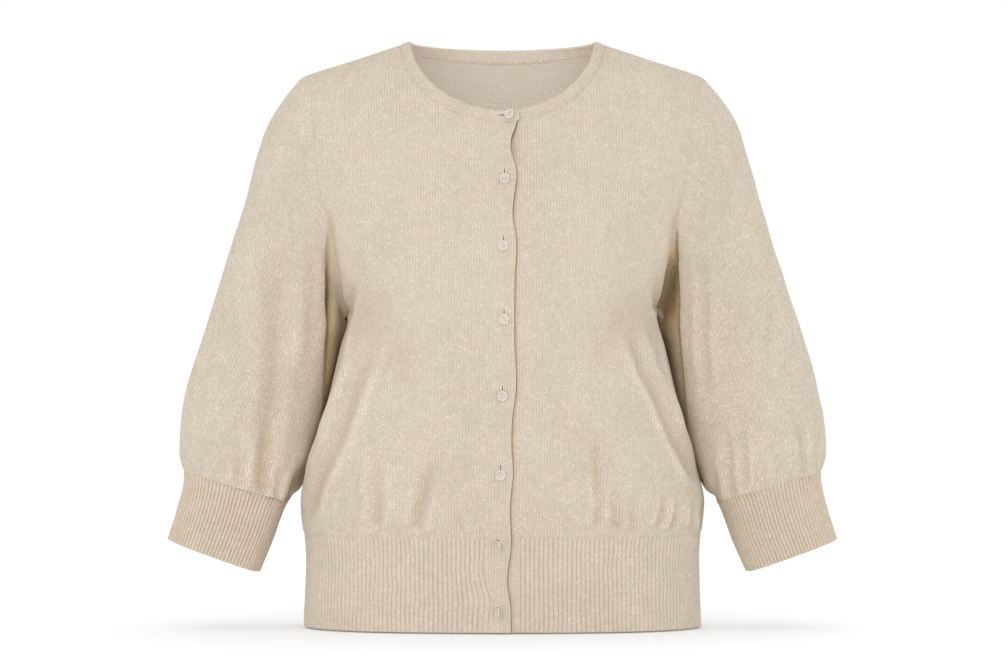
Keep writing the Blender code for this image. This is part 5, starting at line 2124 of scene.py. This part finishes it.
@dataclass(frozen=True)
class Buttonhole:
    """A worked slot in a band: its outline is a superellipse about a point near a button."""

    place: ButtonPlace
    level: bool = False
    length: float = 0.0120
    width: float = 0.0013
    caught_width: float = 0.0036
    below: float = 0.0012           # how far its foot lies below the button's middle
    lip: float = 0.00046            # radius of the worked edge
    stitch: float = 0.0011          # spacing of its stitches

    def outline(self, grow: float, count: int) -> tuple[Grid, Grid]:
        """Give points x, z round the slot, grown by a margin.

        Args:
            grow: Margin.
            count: Number of points.

        Returns:
            Sideways places and heights.
        """
        caught = abs(self.place.turn) > EDGE_ON
        turn = circle(count)
        exponent = 0.9 if caught else 0.55
        short = (self.caught_width if caught else self.width) / 2 + grow
        long = self.length / 2 + grow
        across = short * power(np.cos(turn), exponent)
        along = long * power(np.sin(turn), exponent)
        shift = 0.0 if caught else self.length / 2 - self.below
        if self.level:
            return self.place.x - shift + along, self.place.z + across
        return self.place.x + across, self.place.z + shift + along

    def cutter(self) -> tuple[Grid, list[list[int]]]:
        """Make a prism that cuts the slot, from outside the band to inside it.

        Returns:
            Points and faces.
        """
        outer, outward = OVERLAP.outer(*self.outline(0.0, 28))
        return prism(outer + outward * 0.002, outer - outward * 0.0026)

    def lips(self, name: str) -> Piece:
        """Make the worked edge: a rippled thread laid round the slot.

        Args:
            name: The piece's name.

        Returns:
            The piece.
        """
        outer, outward = OVERLAP.outer(*self.outline(0.0002, 180))
        length = run_length(np.concatenate([outer, outer[:1]]))[:-1]
        ripple = 0.5 + 0.5 * np.cos(2 * pi * length / self.stitch)
        radius = self.lip * (0.80 + 0.20 * ripple ** 0.5)
        path = outer - outward * (self.lip * 0.55)
        mesh = tube_mesh(name, path, outward, radius, 10, loop=True)
        return hand_over(add_piece(name, mesh, SEWING))


@dataclass(frozen=True)
class Placket:
    """A plain band down the centre front: the button band, or the buttonhole band over it."""

    side: Side
    step: float = 0.0016
    column_step: float = 0.0012
    line_shade: float = 3.5         # painted shade of the lower band right beside the upper one's edge
    line_reach: float = 0.0023      # distance over which it fades
    pocket_shade: float = 1.2       # its greatest painted shade where the upper band gapes
    pocket_rise: float = 450.0      # how fast that shade grows with the gape
    cut: Cut = Cut(0.030, 0.510, 0.0145)

    def build(self) -> Piece:
        """Make the band and dress it."""
        over = self.side is Side.RIGHT
        rise = spaced(HEM_DROP + OVERLAP.z[-1], self.step)[:, None]
        share = spaced(2 * PLACKET_SEAM, self.column_step)[None]
        centre_z = band_rows(np.zeros(1), rise)
        if over:
            seam = -placket_seam(centre_z, Side.RIGHT)
            x = seam * (1 - share) + OVERLAP.reach(centre_z) * share
        else:
            x = -UNDER_LAP * (1 - share) + PLACKET_SEAM * share + 0 * rise
        z = band_rows(x, rise)
        angle = TORSO.angle_at(x, z)
        plain, outward = TORSO.surface(angle, z)
        bend = TORSO.bend(plain)
        wall = Wall(
            name=f"placket_{self.side.word}_band", plain=plain, outward=outward,
            thickness=BAND_WALL, bend=bend + (OVERLAP.stand(x, z) if over else 0.0),
            across=TORSO.arc(angle, z, back=False), along=run_length(plain, axis=0),
            first_row=Edge.OPEN, first_column=Edge.FLUSH if over else Edge.OPEN,
            last_column=Edge.OPEN if over else Edge.FLUSH)
        # painted shade on the lower band beside the upper band's edge and under its gape
        beyond = np.clip(x - OVERLAP.reach(z) + 0.001, 0, None)
        gape = OVERLAP.gape(z)
        line = self.line_shade * bell(beyond, self.line_reach)
        pocket = bell(beyond, 0.0010 + 1.2 * gape) * np.clip(
            gape * self.pocket_rise, 0, self.pocket_shade)
        shade = 0.0 if over else np.maximum(line, pocket)
        piece = wall.build(JERSEY, JERSEY_REVERSE, BAND_FLECKS, shade)
        if over:
            cut_away(piece, [Buttonhole(place).cutter() for place in BUTTONS[1:]])
        return hand_over(piece, (f"placket_{self.side.word}",), self.cut)


@dataclass(frozen=True)
class NeckBand:
    """One strip round the neck, its upper end lapped over its lower end at the centre front."""

    step: float = 0.0024
    row_step: float = 0.0007
    puff: float = 0.0007            # how far it swells between its edges
    stitch_lines: tuple[float, ...] = (0.0010, 0.0027)      # their distances from the seam
    stitch_depth: float = 0.00035
    stitch_reach: float = 0.0005
    # painted shade along the stitch lines
    stitch_shade: float = 0.22
    end_press: float = 0.012        # width over which the upper end presses the lower flat
    end_reach: tuple[float, ...] = (0.0, 0.003, 0.006, 0.009, NECK_BAND)
    end_x: tuple[float, ...] = (0.0130, 0.0158, 0.0168, 0.0172, 0.0168)
    cut: Cut = Cut(0.620, 0.013, 0.0080)

    def build(self) -> Piece:
        """Make the band and dress it."""
        reach = (NECK_BAND * (1 - spaced(NECK_BAND, self.row_step)))[:, None]
        upper = float(TORSO.neck_turn(self.end_x[-1], NECK_BAND))
        lower = float(TORSO.neck_turn(UNDER_LAP, NECK_BAND))
        fine = np.linspace(upper, -2 * pi - lower, 3000)
        line = TORSO.section(*TORSO.neckline(fine, NECK_BAND / 2))
        length = run_length(line)
        turns = np.interp(spaced(length[-1], self.step), length / length[-1], fine)[None]
        end_x = np.interp(reach, self.end_reach, self.end_x)
        end_turn = TORSO.neck_turn(end_x, reach)
        turns = turns + (end_turn - upper) * np.exp((turns - upper) / 0.10)
        angle, z = TORSO.neckline(turns, reach)
        plain, outward = TORSO.surface(angle, z)
        over = turns > -QUARTER
        pressed = np.where(over, 1.0, ease((plain[..., 0] - UNDER_LAP - 0.007) / self.end_press))
        swell = self.puff * np.sin(pi * reach / NECK_BAND) ** 0.7 * pressed
        stand = np.where(over, lap(plain[..., 0]), 0.0)
        lines = sum(bell(NECK_BAND - reach - line, self.stitch_reach)
                    for line in self.stitch_lines) + 0 * turns
        middle = run_length(plain[len(plain) // 2])
        along = -run_length(plain, axis=0)
        wall = Wall(
            name="neck_band_strip", plain=plain, outward=outward, thickness=BAND_WALL,
            bend=TORSO.bend(plain) + stand, ridge=swell - self.stitch_depth * lines,
            across=along, along=middle[None] + 0 * along, last_row=Edge.OPEN,
            first_column=Edge.OPEN, last_column=Edge.OPEN)
        piece = wall.build(JERSEY, JERSEY_REVERSE, BAND_FLECKS, self.stitch_shade * lines)
        cut_away(piece, [Buttonhole(BUTTONS[0], level=True).cutter()])
        return hand_over(piece, ("neck_band",), self.cut)


@dataclass(frozen=True)
class NeckSeam:
    """The chain of linking stitches inside the back neck."""

    below: float = 0.0012           # distance under the band's seam
    swing: float = 0.0010
    pitch: float = 0.0036
    thread: float = 0.00050
    hop: float = 0.0003             # how far it hops in and out between swings

    def build(self) -> list[Piece]:
        """Make two threads that swing across each other along the seam."""
        made = []
        turns = TORSO.neck_turns(0.42 * pi, 1.58 * pi, np.linspace(0, 1, 1300))
        angle, z = TORSO.neckline(turns, NECK_BAND)
        length = run_length(TORSO.section(angle, z))
        for number, phase in enumerate((0.0, pi), start=1):
            swing = self.swing * np.sin(2 * pi * length / self.pitch + phase)
            angle, z = TORSO.neckline(turns, NECK_BAND + self.below + swing)
            plain, outward = TORSO.surface(angle, z)
            hop = self.hop * np.cos(4 * pi * length / self.pitch + phase)
            inside = TORSO.bend(plain) - JERSEY_WALL - self.thread * 0.6 + hop
            path = plain + outward * inside[..., None]
            name = f"neck_linking_{number}"
            mesh = tube_mesh(name, path, outward, self.thread, 6)
            made.append(hand_over(add_piece(name, mesh, LINKING)))
        return made


# ---- buttons


@dataclass(frozen=True)
class PearlButton:
    """A round two-hole button, turned about its own axis, with its thread."""

    number: int
    place: ButtonPlace
    radius: float = 0.00525
    half: float = 0.0011            # half its thickness
    clearance: float = 0.0003
    hole: float = 0.00055           # radius of a hole
    hole_apart: float = 0.00115     # a hole's distance from the middle
    thread: float = 0.00034         # radius of its thread
    well: float = 0.22              # height of the dish, as a share of half the thickness
    sides: int = 56

    def profile(self) -> Grid:
        """Draw the half section from the back's middle round the rim to the front's middle.

        The back is slightly domed, the rim is a half round, and inside it the front falls
        along an eased slope to a flat dish.

        Returns:
            Radii and heights.
        """
        r, h = self.radius, self.half
        back = np.linspace(0.04, 0.80, 7)
        back_line = joined(back * r, -h * (1 - 0.25 * back ** 2))
        turn = np.linspace(-0.42 * pi, 0.55 * pi, 11)
        rim = joined(0.86 * r + 0.14 * r * np.cos(turn), 0.90 * h * np.sin(turn) + 0.08 * h)
        dish = np.linspace(0.80, 0.04, 12)
        floor = self.well * h + 0.66 * h * ease((dish - 0.58) / 0.20)
        return np.concatenate([back_line, rim, joined(dish * r, floor)])

    def disc(self, name: str) -> Mesh:
        """Turn the profile about Z.

        Args:
            name: The mesh's name.

        Returns:
            The mesh, with the share of the dish stored as its painted shade.
        """
        line, turn = self.profile(), circle(self.sides)[None]
        rings = joined(line[:, :1] * np.cos(turn), line[:, :1] * np.sin(turn), line[:, 1:])
        quads = grid_corners(len(line), self.sides, self.sides, True).tolist()
        last = (len(line) - 1) * self.sides
        front = np.arange(len(line)) > len(line) // 2
        dish = np.where(front, 1 - ease((line[:, 0] / self.radius - 0.52) / 0.30), 0.0)
        caps = [list(range(self.sides))[::-1], list(range(last, last + self.sides))]
        mesh = bpy.data.meshes.new(name)
        mesh.from_pydata(rings.reshape(-1, 3).tolist(), [], quads + caps)
        shade = np.repeat(dish, self.sides)
        mesh.attributes.new("shade", "FLOAT", "POINT").data.foreach_set("value", shade)
        return mesh

    def bores(self) -> list[tuple[Grid, list[list[int]]]]:
        """Make the prisms that bore the two holes, one over the other."""
        turn = circle(20)
        x, y = self.hole * np.cos(turn), self.hole * np.sin(turn)
        return [prism(*(joined(x, y + sign * self.hole_apart, z) for z in (-0.004, 0.004)))
                for sign in (-1, 1)]

    def stitches(self, frame_here: Matrix, foot: Vector) -> Mesh:
        """Make the thread: over from hole to hole, down through both, and on to the band.

        Args:
            frame_here: The button's frame.
            foot: Where the thread meets the button band.

        Returns:
            The thread's mesh.
        """
        apart, top = self.hole_apart, self.well * self.half
        over = [(0, -apart, -self.half), (0, -apart, top), (0, -0.7 * apart, top + 0.0004),
                (0, 0, top + 0.0005), (0, 0.7 * apart, top + 0.0004), (0, apart, top),
                (0, apart, -self.half)]
        corners = [foot] + [frame_here @ Vector(corner) for corner in over] + [foot]
        line = np.array([list(corner) for corner in corners])
        whole, fine = np.arange(len(line)) * 1.0, np.linspace(0, len(line) - 1, 60)
        smooth = joined(*(through(whole, column, fine) for column in line.T))
        side = np.array(frame_here.to_3x3().col[0])
        return tube_mesh(f"thread_{self.number}", smooth, side + 0 * smooth, self.thread)

    def build(self) -> list[Piece]:
        """Make the button and its thread in place, and dress them."""
        turn = radians(self.place.turn)
        stand = self.clearance + self.half * cos(turn) + self.radius * abs(sin(turn))
        point, axes = OVERLAP.seat(self.place)
        seat = Matrix.Translation(point) @ axes.to_4x4()
        here = seat @ Matrix.Translation((0, 0, stand)) @ Matrix.Rotation(turn, 4, "Y")
        name = f"pearl_{self.number}"
        piece = add_piece(name, self.disc(name))
        cut_away(piece, self.bores())
        piece.data.materials.clear()
        piece.data.transform(here)
        piece.data.shade_smooth()
        piece.data.set_sharp_from_angle(angle=radians(48))
        piece.data.materials.append(PEARL.material())
        hand_over(piece, (f"button_{self.number}",))
        foot = seat @ Vector((0, 0, -LAP_LIFT * 0.8))
        thread = add_piece(f"button_thread_{self.number}", self.stitches(here, foot), SEWING)
        return [piece, hand_over(thread)]


# ---- studio


@dataclass(frozen=True)
class Studio:
    """A white room: a pale floor under the hem, soft light all round, and the camera."""

    floor_gap: float = 0.0012
    floor_size: float = 12.0
    world: float = 1.0
    aim: Place = (0.0, 0.0, -0.3)       # what the lamps outside face
    camera_at: Place = (0.0015, -4.2, -0.2995)
    lens: float = 147.25

    def floor(self) -> Piece:
        """Lay the floor."""
        half, z = self.floor_size / 2, CAD_BOX[0].z - self.floor_gap
        mesh = bpy.data.meshes.new("floor")
        corners = [(-half, -half, z), (half, -half, z), (half, half, z), (-half, half, z)]
        mesh.from_pydata(corners, [], [(0, 1, 2, 3)])
        floor = add_piece("floor", mesh, FloorFinish())
        return floor

    def light(self, name: str, at: Place, to: Place, size: float, watts: float) -> None:
        """Hang a soft square light.

        Args:
            name: Its name.
            at: Where it hangs.
            to: What it faces.
            size: Its width.
            watts: Its power.
        """
        lamp = bpy.data.lights.new(name, "AREA")
        lamp.size = size
        lamp.energy = watts
        item = bpy.data.objects.new(name, lamp)
        item.location = at
        aim = Vector(to) - Vector(at)
        item.rotation_euler = aim.to_track_quat("-Z", "Y").to_euler()
        bpy.context.scene.collection.objects.link(item)

    def build(self) -> None:
        """Set up the room."""
        scene = bpy.context.scene
        world = bpy.data.worlds.new("white_room")
        world.use_nodes = True
        background = world.node_tree.nodes["Background"]
        background.inputs["Color"].default_value = (1.0, 1.0, 1.0, 1.0)
        background.inputs["Strength"].default_value = self.world
        scene.world = world
        scene.view_settings.view_transform = "Standard"
        self.floor()
        self.light("key", (-1.2, -2.8, 0.2), self.aim, 1.4, 9.0)
        self.light("fill", (0.2, -3.6, -0.2), self.aim, 2.0, 18.0)
        self.light("rim", (2.2, 1.6, 1.0), self.aim, 1.4, 6.0)
        self.light("inner", (0, -0.085, -0.28), (0, 0.07, -0.03), 0.10, 0.26)
        camera = bpy.data.cameras.new("camera")
        camera.lens = self.lens
        camera.sensor_width = 36.0
        item = bpy.data.objects.new("camera", camera)
        item.location = self.camera_at
        item.rotation_euler = (QUARTER, 0, 0)
        scene.collection.objects.link(item)
        scene.camera = item


# ---- the whole cardigan


def main() -> None:
    """Build every piece in order and report it."""
    logging.basicConfig(level=logging.INFO, format="%(name)s: %(message)s")
    Studio().build()
    made = [FrontPanel(side).build() for side in Side]
    made.append(BackPanel().build())
    made += [HemRib(Side.LEFT, 52).build(), HemRib(Side.RIGHT, 52).build()]
    made.append(HemRib(None, 112, cut=Cut(0.470, 0.094, 0.044, Hold.STRETCHED)).build())
    made += [SleevePiece(side).build() for side in Side]
    made += [CuffPiece(side).build() for side in Side]
    made += [Placket(side).build() for side in Side]
    made.append(NeckBand().build())
    made += NeckSeam().build()
    for number, place in enumerate(BUTTONS, start=1):
        hole = Buttonhole(place, level=number == 1)
        made.append(hole.lips(f"buttonhole_edge_{number}"))
        made += PearlButton(number, place).build()
    for piece in made:
        log.info("%s: %d faces", piece.name, len(piece.data.polygons))


if __name__ == "__main__":
    main()
